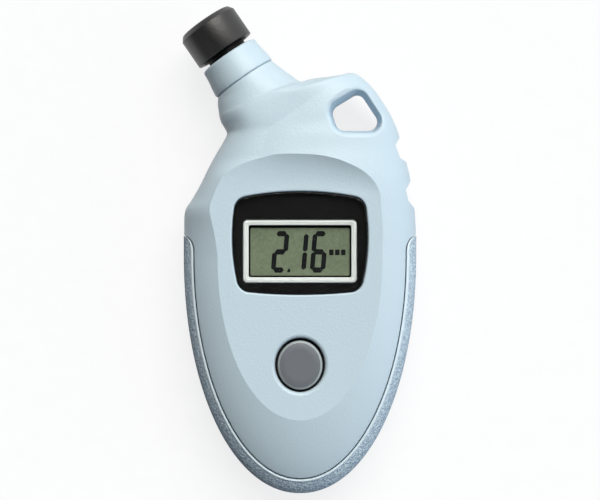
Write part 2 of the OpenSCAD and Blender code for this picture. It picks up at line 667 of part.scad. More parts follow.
module head_stem() color([0.07, 0.07, 0.08]) on_neck() rotate_extrude($fn = 64) {
    groove = stem_r - ring_t;
    groove_w = ring_t * 1.3;
    flange_r = spigot_r - lay - run;
    head_r = cap_in_r - run;
    seat_r = air_r + 0.7;
    polygon([[air_r, -stem_len], [stem_r, -stem_len], [stem_r, -ring_pitch], [groove, -ring_pitch],
        [groove, groove_w - ring_pitch], [stem_r, groove_w - ring_pitch], [stem_r, 0], [groove, 0],
        [groove, groove_w], [stem_r, groove_w], [stem_r, stem_flange_a], [flange_r, stem_flange_a],
        [flange_r, lip_a - run], [stem_ring_r, lip_a - run], [stem_ring_r, cap_a - 2 * run],
        [head_r, cap_a - 2 * run], [head_r, stem_head_a], [seat_r, stem_head_a], [seat_r, pin_seat_a],
        [air_r, pin_seat_a]]);
}

module stem_o_rings() color([0.05, 0.05, 0.05]) for (a = [-ring_pitch, 0]) on_neck(a + ring_t * 0.65)
    rotate_extrude($fn = 64) translate([stem_r + run - 0.02 - ring_t / 2, 0]) circle(d = ring_t, $fn = 24);

module valve_cap() color([0.1, 0.1, 0.11]) on_neck() rotate_extrude($fn = 72) {
    top = cap_a + cap_len;
    mouth = valve_r + lay + 2 * run;
    polygon([[cap_in_r, cap_a], [cap_r - lay, cap_a], [cap_r, cap_a + lay], [cap_r, top - 0.75],
        [cap_r - 0.12, top - 0.5], [cap_r - 0.45, top - 0.25], [cap_r - 1.2, top - 0.08], [mouth + 0.3, top],
        [mouth, top - 0.3], [mouth, gasket_top + run], [cap_in_r, gasket_top + run]]);
}

module valve_gasket() color([0.16, 0.16, 0.17]) on_neck() rotate_extrude($fn = 64) {
    lip = 0.5;
    rim_r = cap_in_r - run;
    polygon([[valve_r + lip, stem_head_a], [rim_r, stem_head_a], [rim_r, gasket_top], [valve_r, gasket_top],
        [valve_r, gasket_lip_a], [valve_r + lip, gasket_lip_a]]);
}

module depressor_pin() color([0.78, 0.65, 0.33]) on_neck(pin_seat_a) {
    cylinder(r = air_r + 0.7 - run, h = pin_foot, $fn = 3);
    cylinder(r = pin_core_r, h = pin_tip_a - pin_seat_a, $fn = 24);
}

module neck_sleeve() color([0.75, 0.62, 0.32]) on_neck() rotate_extrude($fn = 64) {
    bore = stem_r + run;
    flange_r = sleeve_r + sleeve_flange;
    flange_a = sleeve_a + sleeve_flange_t;
    floor_a = sleeve_a + 2;
    polygon([[nipple_bore, sleeve_a - nipple_len], [nipple_r, sleeve_a - nipple_len], [nipple_r, sleeve_a],
        [flange_r, sleeve_a], [flange_r, flange_a], [sleeve_r, flange_a], [sleeve_r, spigot_len],
        [bore, spigot_len], [bore, floor_a], [nipple_bore, floor_a]]);
}

module thrust_washer() color([0.92, 0.92, 0.9]) on_neck(spigot_len) difference() {
    cylinder(r = spigot_r - 2 * lay, h = washer_t);
    translate([0, 0, -1]) cylinder(r = stem_r + 3 * run, h = 2);
}

module air_hose() color([0.85, 0.85, 0.83]) on_neck(hose_a0) difference() {
    cylinder(r = hose_r, h = hose_len);
    translate([0, 0, -1]) cylinder(r = nipple_r + run, h = hose_len + 2);
}

module hose_clips() color([0.7, 0.71, 0.72])
    for (a = [hose_a0 + clip_in, hose_a1 - clip_in - clip_w]) on_neck(a) difference() {
        cylinder(r = hose_r + clip_t, h = clip_w);
        translate([0, 0, -1]) cylinder(r = hose_r + 0.02, h = clip_w + 2);
    }

module pressure_sensor() color([0.2, 0.2, 0.22]) {
    translate([neck_x + sensor_a * nx, neck_y + sensor_a * ny, board_top]) rotate([0, 0, neck_tilt])
        box(sensor_side, sensor_side, sensor_h);
    on_neck(sensor_a + sensor_side / 2 - 0.5) difference() {
        cylinder(r = nipple_r, h = sensor_gap + nipple_len + 0.4);
        translate([0, 0, 1]) cylinder(r = nipple_bore, h = through, $fn = 24);
    }
}

module display_window() color([0.85, 0.9, 0.92, 0.4])
    translate([0, 0, pocket_z + mask_t]) linear_extrude(lens_t) lens_plan(-lay);

module window_mask() color([0.03, 0.03, 0.03])
    translate([0, 0, pocket_z]) linear_extrude(mask_t) difference() {
        lens_plan(-lay);
        translate([0, disp_y]) frame_outer(2 * run);
    }

module display_frame() color([0.75, 0.76, 0.77]) translate([0, disp_y, 0]) difference() {
    skirt_h = plate_top - board_top;
    union() {
        translate([0, 0, plate_top - plate_t]) linear_extrude(frame_top - plate_top + plate_t) frame_outer(0);
        translate([0, 0, board_top]) box(lcd_w + 2 * frame_wall, lcd_h + 2 * frame_wall, skirt_h);
    }
    translate([0, 0, board_top - 1]) box(lcd_w + 2 * lay, lcd_h + 2 * lay, skirt_h - plate_t + 1);
    linear_extrude(through) rounded(view_w, view_h, view_corner);
}

module lcd_panel() color([0.46, 0.51, 0.41]) translate([0, disp_y, lcd_z]) {
    box(lcd_w, lcd_h, lcd_t);
    linear_extrude(frame_top - lcd_recess - lcd_z) rounded(view_w - 2 * lay, view_h - 2 * lay, view_corner);
}
module lcd_backing() color([0.62, 0.64, 0.58])
    translate([0, disp_y, lcd_z - back_t]) box(lcd_w - zebra_in, lcd_h - zebra_in, back_t);
module zebra_strips() color([0.25, 0.25, 0.27]) for (s = [-1, 1])
    translate([0, disp_y + s * (lcd_h / 2 - zebra_in - zebra_w / 2), board_top])
        box(lcd_w - 4 * zebra_in, zebra_w, zebra_h);

module circuit_board() color([0.1, 0.36, 0.2]) translate([0, 0, board_z]) difference() {
    x = board_w / 2;
    linear_extrude(board_t) polygon([[-x, board_y1], [x, board_y1], [x, board_y0 + board_cut_l],
        [x - board_cut_w, board_y0], [board_cut_w - x, board_y0], [-x, board_y0 + board_cut_l]]);
    at_spots(board_spots) translate([0, 0, -1]) cylinder(r = pin_r + lay, h = board_t + 2, $fn = 32);
}
module controller_chip() color([0.08, 0.08, 0.09])
    translate([0, disp_y, board_top]) box(chip_w, chip_l, chip_h);
module smd_parts() color([0.6, 0.5, 0.4]) for (i = [0:6])
    translate([(i - 3) * smd_pitch, button_y + smd_up - (i % 2) * smd_step, board_top])
        box(smd_l, smd_w, smd_h);

module push_button() color([0.44, 0.45, 0.47]) translate([0, button_y, 0]) {
    flange_z = ceil_z - lay - flange_t;
    plunger_z = board_top + dome_h + run;
    translate([0, 0, flange_z]) linear_extrude(flange_t)
        oval(button_w + 2 * button_flange, button_l + 2 * button_flange);
    translate([0, 0, ceil_z - lay]) linear_extrude(face_z + button_rise - ceil_z + lay)
        oval(button_w, button_l);
    translate([0, 0, plunger_z]) cylinder(r = plunger_r, h = flange_z - plunger_z);
}
module button_dome() color([0.8, 0.8, 0.78]) translate([0, button_y, board_top]) rotate_extrude($fn = 64) {
    foot_t = 0.6;
    in_z = dome_h - dome_top_t;
    polygon([[dome_r - 1.9, 0], [dome_r, 0], [dome_r, foot_t], [dome_r - 1.2, foot_t + 0.1], [3, dome_h - 1],
        [2.7, dome_h], [0, dome_h], [0, in_z], [2, in_z], [dome_r - 2.1, foot_t + 0.1]]);
}
module contact_pill() color([0.06, 0.06, 0.06])
    translate([0, button_y, board_top + dome_h - dome_top_t - pill_t - run]) cylinder(r = pill_r, h = pill_t);

module coin_cell() color([0.76, 0.77, 0.78]) translate([0, cell_y, cell_z]) rotate_extrude($fn = 72) {
    r = cell_d / 2;
    soft = 0.3;
    polygon([[0, 0], [r - soft, 0], [r, soft], [r, cell_t - soft], [r - 1.1, cell_t - soft], [r - 1.1, cell_t],
        [0, cell_t]]);
}
module battery_holder() color([0.12, 0.12, 0.13]) translate([0, cell_y, cell_z + 2 * lay]) difference() {
    in_r = cell_d / 2 + cell_lay;
    cylinder(r = in_r + holder_wall, h = board_z - cell_z - 2 * lay, $fn = 72);
    translate([0, 0, -1]) cylinder(r = in_r, h = 10, $fn = 72);
    translate([cell_d / 2, 0, -1]) box(8, strip_w + 0.8, 10);
}
module battery_contact_positive() color([0.8, 0.76, 0.6])
    translate([cell_d / 2 + run, cell_y - strip_w / 2, 0]) {
    strip_z = cell_z + 0.5;
    translate([0, 0, strip_z]) cube([strip_t, strip_w, board_z - strip_z]);
    translate([0, 0, board_z - strip_t]) cube([2.6, strip_w, strip_t]);
}
// The leaf runs down from the board to the cell and turns up at its end
module battery_contact_negative() color([0.8, 0.76, 0.6]) translate([0, cell_y + strip_w / 2, 0])
    rotate([90, 0, 0]) linear_extrude(strip_w) {
        low = board_z - contact_h;
        polygon([[-leaf_l, board_z], [-leaf_l, board_z - strip_t], [-0.4, board_z - strip_t], [leaf_l / 2, low],
            [leaf_l - 0.6, low], [leaf_l, low + 0.5], [leaf_l - 0.3, low + 0.6], [leaf_l - 0.8, low + strip_t],
            [leaf_l / 2 + 0.2, low + strip_t], [0.2, board_z]]);
    }

module battery_cover() color([0.6, 0.67, 0.71]) translate([0, cell_y, 0]) difference() {
    body_r = cover_r - cover_ledge - 0.2;
    ring_r = body_r - seal_t + 0.14;
    lug_z = floor_z + lay;
    union() {
        cylinder(r = cover_r, h = cover_rim, $fn = 72);
        rotate_extrude($fn = 72) polygon([[0, 0.5], [body_r, 0.5], [body_r, seal_z - seal_t / 2 - 0.03],
            [ring_r, seal_z - seal_t / 2 - 0.03], [ring_r, seal_z + seal_t / 2 + 0.03],
            [body_r, seal_z + seal_t / 2 + 0.03], [body_r, cover_h], [0, cover_h]]);
        for (i = [0:2]) rotate([0, 0, i * 120 - lug_half]) rotate_extrude(angle = 2 * lug_half, $fn = 72)
            translate([cover_r - 2, lug_z]) square([1.8, cover_h - lug_z]);
    }
    translate([0, 0, -0.01]) box(coin_slot_l, coin_slot_w, coin_slot_d);
}
module cover_o_ring() color([0.05, 0.05, 0.05]) translate([0, cell_y, seal_z]) rotate_extrude($fn = 72)
    translate([cover_r - cover_ledge - 0.04 - seal_t / 2, 0]) circle(d = seal_t, $fn = 24);

module shell_screws() color([0.6, 0.61, 0.63]) at_spots(shell_spots) difference() {
    head_z = screw_seat - screw_head_h;
    union() {
        translate([0, 0, head_z]) cylinder(r = screw_head_r, h = screw_head_h, $fn = 32);
        translate([0, 0, screw_seat - 0.1]) cylinder(r = screw_r, h = screw_len + 0.1, $fn = 32);
    }
    for (q = [0, 90]) rotate([0, 0, q]) translate([0, 0, head_z - 0.1]) box(1.2 * screw_head_r, 0.5, 0.8);
}
module board_screws() color([0.6, 0.61, 0.63]) at_spots(board_spots) {
    translate([0, 0, board_z - pin_head_h]) cylinder(r = pin_head_r, h = pin_head_h, $fn = 32);
    translate([0, 0, board_z - 0.1]) cylinder(r = pin_r, h = pin_len + 0.1, $fn = 32);
}

front_shell();
rear_shell();
grip_band();
neck_collar();
head_stem();
stem_o_rings();
valve_cap();
valve_gasket();
depressor_pin();
neck_sleeve();
thrust_washer();
air_hose();
hose_clips();
pressure_sensor();
display_window();
window_mask();
display_frame();
lcd_panel();
lcd_backing();
zebra_strips();
circuit_board();
controller_chip();
smd_parts();
push_button();
button_dome();
contact_pill();
coin_cell();
battery_holder();
battery_contact_positive();
battery_contact_negative();
battery_cover();
cover_o_ring();
shell_screws();
board_screws();
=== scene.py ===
"""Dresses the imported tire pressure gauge: shells, grip band, valve head, display, button and back.

Sizes in the fields are millimetres in the gauge's own frame: z = 0 is the flat back, +z comes out of the
display and +y points to the valve head. A mesh becomes metres when its piece is made.
"""

import logging
import math
from dataclasses import dataclass, field
from enum import Enum
from functools import cache
from typing import Any, Callable, Optional, Sequence, Union

import bmesh
import bpy
from mathutils import Matrix, Vector
from mathutils.bvhtree import BVHTree


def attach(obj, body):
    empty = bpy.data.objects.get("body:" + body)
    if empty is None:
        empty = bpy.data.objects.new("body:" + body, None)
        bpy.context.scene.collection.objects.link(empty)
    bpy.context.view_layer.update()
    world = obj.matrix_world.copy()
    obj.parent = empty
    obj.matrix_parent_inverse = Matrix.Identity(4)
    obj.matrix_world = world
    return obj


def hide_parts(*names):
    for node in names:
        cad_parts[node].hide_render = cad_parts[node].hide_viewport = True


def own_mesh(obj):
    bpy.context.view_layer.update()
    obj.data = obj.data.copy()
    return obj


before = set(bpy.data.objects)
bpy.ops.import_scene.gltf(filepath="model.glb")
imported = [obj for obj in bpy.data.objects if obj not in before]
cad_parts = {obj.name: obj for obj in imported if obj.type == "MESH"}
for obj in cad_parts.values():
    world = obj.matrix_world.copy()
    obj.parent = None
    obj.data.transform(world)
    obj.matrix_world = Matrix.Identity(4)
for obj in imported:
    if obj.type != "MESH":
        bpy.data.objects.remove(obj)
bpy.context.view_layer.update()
MM = 0.001
TINY = 1e-4
FACETS = 96
MIX_A, MIX_B, MIX_RESULT = 6, 7, 2
log = logging.getLogger("gauge")

Rgb = tuple[int, int, int]
Rgba = tuple[float, float, float, float]
Triple = tuple[float, float, float]
Plan = list[Vector]
Ring = list[Vector]
Table = Sequence[tuple[float, float]]
Tint = Optional[Callable[[int, int], int]]
Piece = bpy.types.Object


class Body(Enum):
    """The moving bodies of the gauge."""

    HOUSING = "housing"
    VALVE_HEAD = "valve_head"
    BUTTON = "button"
    BATTERY_DOOR = "battery_door"


class Half(Enum):
    """The two halves of the housing, by the direction in which they close it."""

    FRONT = 1
    REAR = -1


class Cut(Enum):
    """The ways in which two blanks are combined."""

    AWAY = "DIFFERENCE"
    WITH = "UNION"
    WITHIN = "INTERSECT"


# Shader graph


class Value:
    """A socket in a sum: each operation on it adds a Math node."""

    def __init__(self, graph: "Graph", socket: bpy.types.NodeSocket) -> None:
        """Wraps an output socket of a graph."""
        self.graph = graph
        self.socket = socket

    def _math(self, operation: str, first: "Term", second: "Term") -> "Value":
        """Returns the result of a new Math node."""
        return self.graph.node("ShaderNodeMath", {"operation": operation}, {0: first, 1: second})

    def __add__(self, other: "Term") -> "Value":
        """Returns the sum."""
        return self._math("ADD", self, other)

    def __mul__(self, other: "Term") -> "Value":
        """Returns the product."""
        return self._math("MULTIPLY", self, other)

    def __rmul__(self, other: "Term") -> "Value":
        """Returns the product with this value on the right."""
        return self._math("MULTIPLY", other, self)

    def most(self, other: "Term") -> "Value":
        """Returns the larger of the two."""
        return self._math("MAXIMUM", self, other)


Term = Union[Value, float]


class Graph:
    """The node tree of one material or world, filled through one method."""

    def __init__(self, owner: Union[bpy.types.Material, bpy.types.World]) -> None:
        """Empties the owner's node tree.

        Args:
            owner: The material or world.
        """
        owner.use_nodes = True
        self.owner = owner
        self.tree = owner.node_tree
        self.tree.nodes.clear()

    def node(self, kind: str, settings: dict[str, Any], inputs: dict[Any, Any], output: Any = 0) -> Value:
        """Adds one node.

        Args:
            kind: The node's type.
            settings: Its properties, set first.
            inputs: Values or links of its sockets, by name or number.
            output: The output socket to hand back.

        Returns:
            The output socket, or None where the node has none.
        """
        node = self.tree.nodes.new(kind)
        for key, value in settings.items():
            setattr(node, key, value)
        for key, value in inputs.items():
            if isinstance(value, Value):
                self.tree.links.new(value.socket, node.inputs[key])
            else:
                node.inputs[key].default_value = value
        return Value(self, node.outputs[output]) if node.outputs else None

    def place(self) -> Value:
        """Returns the Object coordinates."""
        return self.node("ShaderNodeTexCoord", {}, {}, "Object")

    def noise(self, size: float, detail: float = 2.0, stretch: Triple = (1, 1, 1)) -> Value:
        """Adds a noise pattern.

        Args:
            size: Size of its blotches in millimetres.
            detail: Number of finer layers in it.
            stretch: Scale of the pattern along each axis.

        Returns:
            The pattern, about 0.5 on average.
        """
        place = self.node("ShaderNodeMapping", {}, {"Vector": self.place(), "Scale": stretch})
        inputs = {"Vector": place, "Scale": 1 / (size * MM), "Detail": detail}
        return self.node("ShaderNodeTexNoise", {}, inputs)

    def ramp(self, value: Value, low: float, high: float) -> Value:
        """Returns 0 below low and 1 above high, and a smooth rise between them."""
        settings = {"interpolation_type": "SMOOTHSTEP"}
        return self.node("ShaderNodeMapRange", settings, {0: value, 1: low, 2: high})

    def mix(self, share: Term, first: Any, second: Any) -> Value:
        """Returns a colour between the first, at share 0, and the second, at share 1."""
        inputs = {0: share, MIX_A: first, MIX_B: second}
        return self.node("ShaderNodeMix", {"data_type": "RGBA"}, inputs, MIX_RESULT)

    def bump(self, height: Value, relief: float) -> Value:
        """Returns a normal for a height pattern that is relief millimetres deep."""
        return self.node("ShaderNodeBump", {}, {"Height": height, "Distance": relief * MM})

    def surface(self, inputs: dict[str, Any]) -> bpy.types.Material:
        """Ends the graph in a Principled surface with those inputs and returns the material."""
        return self.end(self.node("ShaderNodeBsdfPrincipled", {}, inputs))

    def end(self, shader: Value) -> bpy.types.Material:
        """Ends the graph in a shader and returns the material."""
        self.node("ShaderNodeOutputMaterial", {}, {"Surface": shader})
        return self.owner


def linear(colour: Rgb, gain: float = 1.0) -> Rgba:
    """Turns a colour as seen on a screen into shader values, by the usual curve of screens.

    Args:
        colour: Red, green and blue from 0 to 255.
        gain: Factor on the brightness.

    Returns:
        The shader colour with alpha 1.
    """
    parts = [c / 255 for c in colour]
    parts = [c / 12.92 if c <= 0.04045 else ((c + 0.055) / 1.055) ** 2.4 for c in parts]
    return (*[min(1.0, c * gain) for c in parts], 1.0)


@dataclass(frozen=True)
class Finish:
    """A surface finish: its material's name, its colour and its roughness."""

    name: str
    colour: Rgb
    rough: float

    @cache
    def material(self) -> bpy.types.Material:
        """Returns the finish's material, made on first use."""
        return self.paint(Graph(bpy.data.materials.new(self.name)))

    def paint(self, graph: Graph) -> bpy.types.Material:
        """Fills the material's graph and returns the material."""
        raise NotImplementedError

    def tones(self, graph: Graph, share: Term, low: float, high: float) -> Value:
        """Returns the colour at a brightness from low, at share 0, to high, at share 1."""
        return graph.mix(share, linear(self.colour, low), linear(self.colour, high))


@dataclass(frozen=True)
class Plastic(Finish):
    """Moulded plastic with a fine spark-eroded grain and a faint cloudiness."""

    grain: float = 0.3
    relief: float = 0.008
    cloud: float = 0.03
    gloss: float = 0.5
    cloud_size: float = 14.0
    cloud_share: float = 0.7
    rough_swing: float = 0.16
    detail: float = 3.0

    def paint(self, graph: Graph) -> bpy.types.Material:
        """Fills the material's graph.

        Args:
            graph: The graph.

        Returns:
            The material.
        """
        grain = graph.noise(self.grain, self.detail)
        share = graph.noise(self.cloud_size, self.detail) * self.cloud_share + grain * (1 - self.cloud_share)
        return graph.surface({
            "Base Color": self.tones(graph, share, 1 - self.cloud, 1 + self.cloud),
            "Roughness": grain * self.rough_swing + (self.rough - self.rough_swing / 2),
            "Specular IOR Level": self.gloss,
            "Normal": graph.bump(grain, self.relief),
        })


@dataclass(frozen=True)
class GripRubber(Finish):
    """Soft rubber with a pebbled texture, painted darker in the hollows between the pebbles as painted shade.
    """

    # Colour of the hollows between the pebbles: painted shade.
    hollow: Rgb = (158, 172, 188)
    pebble: float = 0.5
    detail: float = 1.5
    relief: float = 0.1
    edge: tuple[float, float] = (0.34, 0.66)
    blotch: float = 6.0
    pebble_share: float = 0.75
    rough_swing: float = 0.06
    gloss: float = 0.3

    def paint(self, graph: Graph) -> bpy.types.Material:
        """Fills the material's graph.

        Args:
            graph: The graph.

        Returns:
            The material.
        """
        humps = graph.ramp(graph.noise(self.pebble, self.detail), *self.edge)
        tone = humps * self.pebble_share + graph.noise(self.blotch) * (1 - self.pebble_share)
        return graph.surface({
            # The darker colour in the hollows is painted shade.
            "Base Color": graph.mix(tone, linear(self.hollow), linear(self.colour)),
            "Roughness": self.rough_swing * humps + self.rough,
            "Specular IOR Level": self.gloss,
            "Normal": graph.bump(humps, self.relief),
        })


@dataclass(frozen=True)
class Rubber(Finish):
    """Plain rubber with a faint bloom."""

    bloom: float = 2.5
    detail: float = 4.0
    tone: tuple[float, float] = (0.8, 1.25)
    rough_swing: float = 0.2
    gloss: float = 0.35
    relief: float = 0.02

    def paint(self, graph: Graph) -> bpy.types.Material:
        """Fills the material's graph.

        Args:
            graph: The graph.

        Returns:
            The material.
        """
        bloom = graph.noise(self.bloom, self.detail)
        return graph.surface({
            "Base Color": self.tones(graph, bloom, *self.tone),
            "Roughness": bloom * self.rough_swing + (self.rough - self.rough_swing / 2),
            "Specular IOR Level": self.gloss,
            "Normal": graph.bump(bloom, self.relief),
        })


@dataclass(frozen=True)
class Metal(Finish):
    """Turned or stamped metal with fine lines along one axis."""

    lines: Triple = (1, 1, 14)
    line_size: float = 0.9
    detail: float = 3.0
    tarnish: float = 4.0
    tone: tuple[float, float] = (0.85, 1.06)
    rough_swing: float = 0.2
    relief: float = 0.006

    def paint(self, graph: Graph) -> bpy.types.Material:
        """Fills the material's graph.

        Args:
            graph: The graph.

        Returns:
            The material.
        """
        lines = graph.noise(self.line_size, self.detail, self.lines)
        return graph.surface({
            "Base Color": self.tones(graph, graph.noise(self.tarnish), *self.tone),
            "Metallic": 1.0,
            "Roughness": lines * self.rough_swing + (self.rough - self.rough_swing / 2),
            "Normal": graph.bump(lines, self.relief),
        })


@dataclass(frozen=True)
class ClearLens(Finish):
    """Clear moulded window with a hard gloss, through which the lamps reach the display."""

    ior: float = 1.22
    haze: float = 3.0
    detail: float = 3.0
    rough_swing: float = 0.02

    def paint(self, graph: Graph) -> bpy.types.Material:
        """Fills the material's graph.

        Args:
            graph: The graph.

        Returns:
            The material.
        """
        glass = graph.node("ShaderNodeBsdfPrincipled", {}, {
            "Base Color": linear(self.colour),
            "Roughness": graph.noise(self.haze, self.detail) * self.rough_swing + self.rough,
            "IOR": self.ior,
            "Transmission Weight": 1.0,
        })
        through = graph.node("ShaderNodeBsdfTransparent", {}, {})
        shadow = graph.node("ShaderNodeLightPath", {}, {}, "Is Shadow Ray")
        return graph.end(graph.node("ShaderNodeMixShader", {}, {0: shadow, 1: glass, 2: through}))


@dataclass(frozen=True)
class DisplayGlass(Finish):
    """The display's grey-green polarised glass with its fine sparkle."""

    sparkle: float = 0.6
    patch: float = 5.0
    sparkle_share: float = 0.75
    tone: tuple[float, float] = (0.55, 1.45)
    rough_swing: float = 0.1
    gloss: float = 0.3
    relief: float = 0.004

    def paint(self, graph: Graph) -> bpy.types.Material:
        """Fills the material's graph.

        Args:
            graph: The graph.

        Returns:
            The material.
        """
        sparkle = graph.noise(self.sparkle)
        share = sparkle * self.sparkle_share + graph.noise(self.patch) * (1 - self.sparkle_share)
        return graph.surface({
            "Base Color": self.tones(graph, share, *self.tone),
            "Roughness": sparkle * self.rough_swing + self.rough,
            "Specular IOR Level": self.gloss,
            "Normal": graph.bump(sparkle, self.relief),
        })


@dataclass(frozen=True)
class Board(Finish):
    """Solder-masked board with a hint of the copper lines under the mask."""

    line_scale: float = 260.0
    line_bend: float = 5.0
    line_detail: tuple[float, float] = (1.0, 0.6)
    line_edge: tuple[float, float] = (0.62, 0.7)
    copper_gain: float = 1.7
    rough_swing: float = 0.1
    relief: float = 0.03

    def paint(self, graph: Graph) -> bpy.types.Material:
        """Fills the material's graph.

        Args:
            graph: The graph.

        Returns:
            The material.
        """
        detail, detail_scale = self.line_detail
        wave = graph.node("ShaderNodeTexWave", {"bands_direction": "DIAGONAL"}, {
            "Vector": graph.place(), "Scale": self.line_scale, "Distortion": self.line_bend,
            "Detail": detail, "Detail Scale": detail_scale})
        copper = graph.ramp(wave, *self.line_edge)
        return graph.surface({
            "Base Color": self.tones(graph, copper, 1.0, self.copper_gain),
            "Roughness": self.rough_swing * copper + self.rough,
            "Normal": graph.bump(copper, self.relief),
        })


SHELL = Plastic("shell_plastic", (196, 212, 220), 0.43, grain=0.5, relief=0.04)
# Lanyard hole walls get this bluer tone as painted shade; they are the same plastic as the shell.
SHELL_HOLE_SHADE = Plastic("hole_wall_painted_shade", (180, 207, 223), 0.43, grain=0.5, relief=0.04, gloss=0.35)
SHELL_BACK = Plastic("cover_plastic", (188, 204, 212), 0.5, grain=0.5, relief=0.04, gloss=0.35)
GRIP = GripRubber("grip_pebbled", (212, 229, 237), 0.72)
GRIP_BEAD = Plastic("grip_bead", (220, 232, 238), 0.4, gloss=0.45)
# Black head plastic; the same finish paints the window's rim black as painted shade.
HEAD_BLACK_AND_SHADE = Plastic("head_plastic_and_rim_shade", (13, 13, 14), 0.5, relief=0.004, cloud=0.15, gloss=0.15)
CAP_BLACK = Plastic("cap_plastic", (11, 11, 13), 0.4, grain=0.5, relief=0.02, cloud=0.25, gloss=0.85)
# Black rubber seals; the same finish paints the button's sides black as the painted shade of its gap.
SEAL_AND_GAP_SHADE = Rubber("seal_black_and_gap_shade", (24, 24, 25), 0.62)
GASKET = Rubber("gasket_rubber", (40, 40, 42), 0.6)
DOME = Rubber("dome_silicone", (205, 206, 200), 0.5)
ZEBRA = Rubber("striped_rubber", (70, 70, 74), 0.6)
BRASS = Metal("turned_brass", (214, 182, 104), 0.28)
STEEL = Metal("clip_steel", (190, 192, 195), 0.3)
SCREW = Metal("fastener_steel", (158, 160, 164), 0.36)
CELL = Metal("cell_can", (205, 207, 209), 0.26, lines=(1, 14, 1))
CONTACT = Metal("contact_bronze", (212, 200, 166), 0.32)
SLIP = Plastic("slip_ring", (236, 236, 230), 0.35)
HOSE = Rubber("hose_silicone", (216, 217, 211), 0.4)
CHIP = Plastic("chip_body", (32, 32, 34), 0.55)
SMD = Plastic("small_parts", (176, 152, 122), 0.5, cloud=0.1)
LENS = ClearLens("clear_lens", (250, 252, 252), 0.01)
# Black print under the window; the same finish paints the shadow round the display glass.
MASK_PRINT_AND_SHADOW = Plastic("mask_print_and_shadow", (8, 8, 9), 0.45, grain=2.0, relief=0.0005, cloud=0.2, gloss=0.06)
FRAME_GREY = Plastic("frame_satin", (183, 187, 189), 0.4, cloud=0.02)
LCD = DisplayGlass("display_glass", (85, 94, 76), 0.32)
LCD_BACK = Plastic("display_back", (176, 180, 168), 0.3)
SEGMENT = Plastic("display_segment", (9, 11, 14), 0.4, relief=0.001, gloss=0.1)
BOARD = Board("board_mask", (24, 92, 52), 0.35)
BUTTON_GREY = Plastic("button_satin", (108, 111, 116), 0.4, relief=0.006)
# Painted highlight on the button's rounded edge.
BUTTON_EDGE_HIGHLIGHT = Plastic("button_edge_highlight", (158, 164, 163), 0.3, relief=0.004)


# Outlines


def arc(x: float, y: float, radius: float, start: float, end: float, steps: int) -> Plan:
    """Returns the points of an arc between two angles in degrees, both ends among them."""
    turns = [math.radians(start + (end - start) * i / steps) for i in range(steps + 1)]
    return [Vector((x + radius * math.cos(t), y + radius * math.sin(t))) for t in turns]


def oval(width: float, length: float, y: float = 0.0, steps: int = FACETS) -> Plan:
    """Returns an ellipse of that width and length with its middle at y."""
    turns = [2 * math.pi * i / steps for i in range(steps)]
    return [Vector((width / 2 * math.cos(t), y + length / 2 * math.sin(t))) for t in turns]


def rounded_box(width: float, length: float, radius: float, y: float = 0.0, steps: int = 6) -> Plan:
    """Draws a rectangle with round corners.

    Args:
        width: Its width.
        length: Its length.
        radius: Radius of its corners.
        y: Place of its middle.
        steps: Steps round each corner.

    Returns:
        The outline.
    """
    across, along = width / 2 - radius, length / 2 - radius
    corners = [(across, along, 0), (-across, along, 90), (-across, -along, 180), (across, -along, 270)]
    return [p for cx, cy, q in corners for p in arc(cx, y + cy, radius, q, q + 90, steps)]


def pebble(circles: Sequence[Triple], grow: float = 0.0, steps: int = 12) -> Plan:
    """Draws a band round a few circles.

    Args:
        circles: Centre and radius of each, anticlockwise.
        grow: Added to each radius.
        steps: Steps round each circle.

    Returns:
        The outline.
    """
    def lean(one: Triple, two: Triple) -> float:
        """Returns the outward direction of the line that touches both circles, in degrees."""
        dx, dy = two[0] - one[0], two[1] - one[1]
        return math.degrees(math.atan2(dy, dx) - math.acos((one[2] - two[2]) / math.hypot(dx, dy)))

    outline: Plan = []
    for i, circle in enumerate(circles):
        start = lean(circles[i - 1], circle)
        end = lean(circle, circles[(i + 1) % len(circles)])
        outline += arc(circle[0], circle[1], circle[2] + grow, start, start + (end - start) % 360, steps)
    return outline


def level(outline: Plan, z: float) -> Ring:
    """Returns an outline at a height."""
    return [Vector((p.x, p.y, z)) for p in outline]


def soft_min(a: float, b: float, reach: float) -> float:
    """Returns the smaller of two heights, rounded off where they come within reach of each other."""
    share = max(reach - abs(a - b), 0.0) / reach
    return min(a, b) - share * share * reach / 4


def spline(a: Any, b: Any, c: Any, d: Any, t: float) -> Any:
    """Finds a value or point on a smooth curve through four.

    Args:
        a: The one before the span.
        b: The start of the span.
        c: The end of the span.
        d: The one after the span.
        t: Share of the way through the span.

    Returns:
        The value or point there.
    """
    square = 2 * a - 5 * b + 4 * c - d
    cube = 3 * b - a - 3 * c + d
    return 0.5 * (2 * b + (c - a) * t + square * t * t + cube * t ** 3)


# Meshes


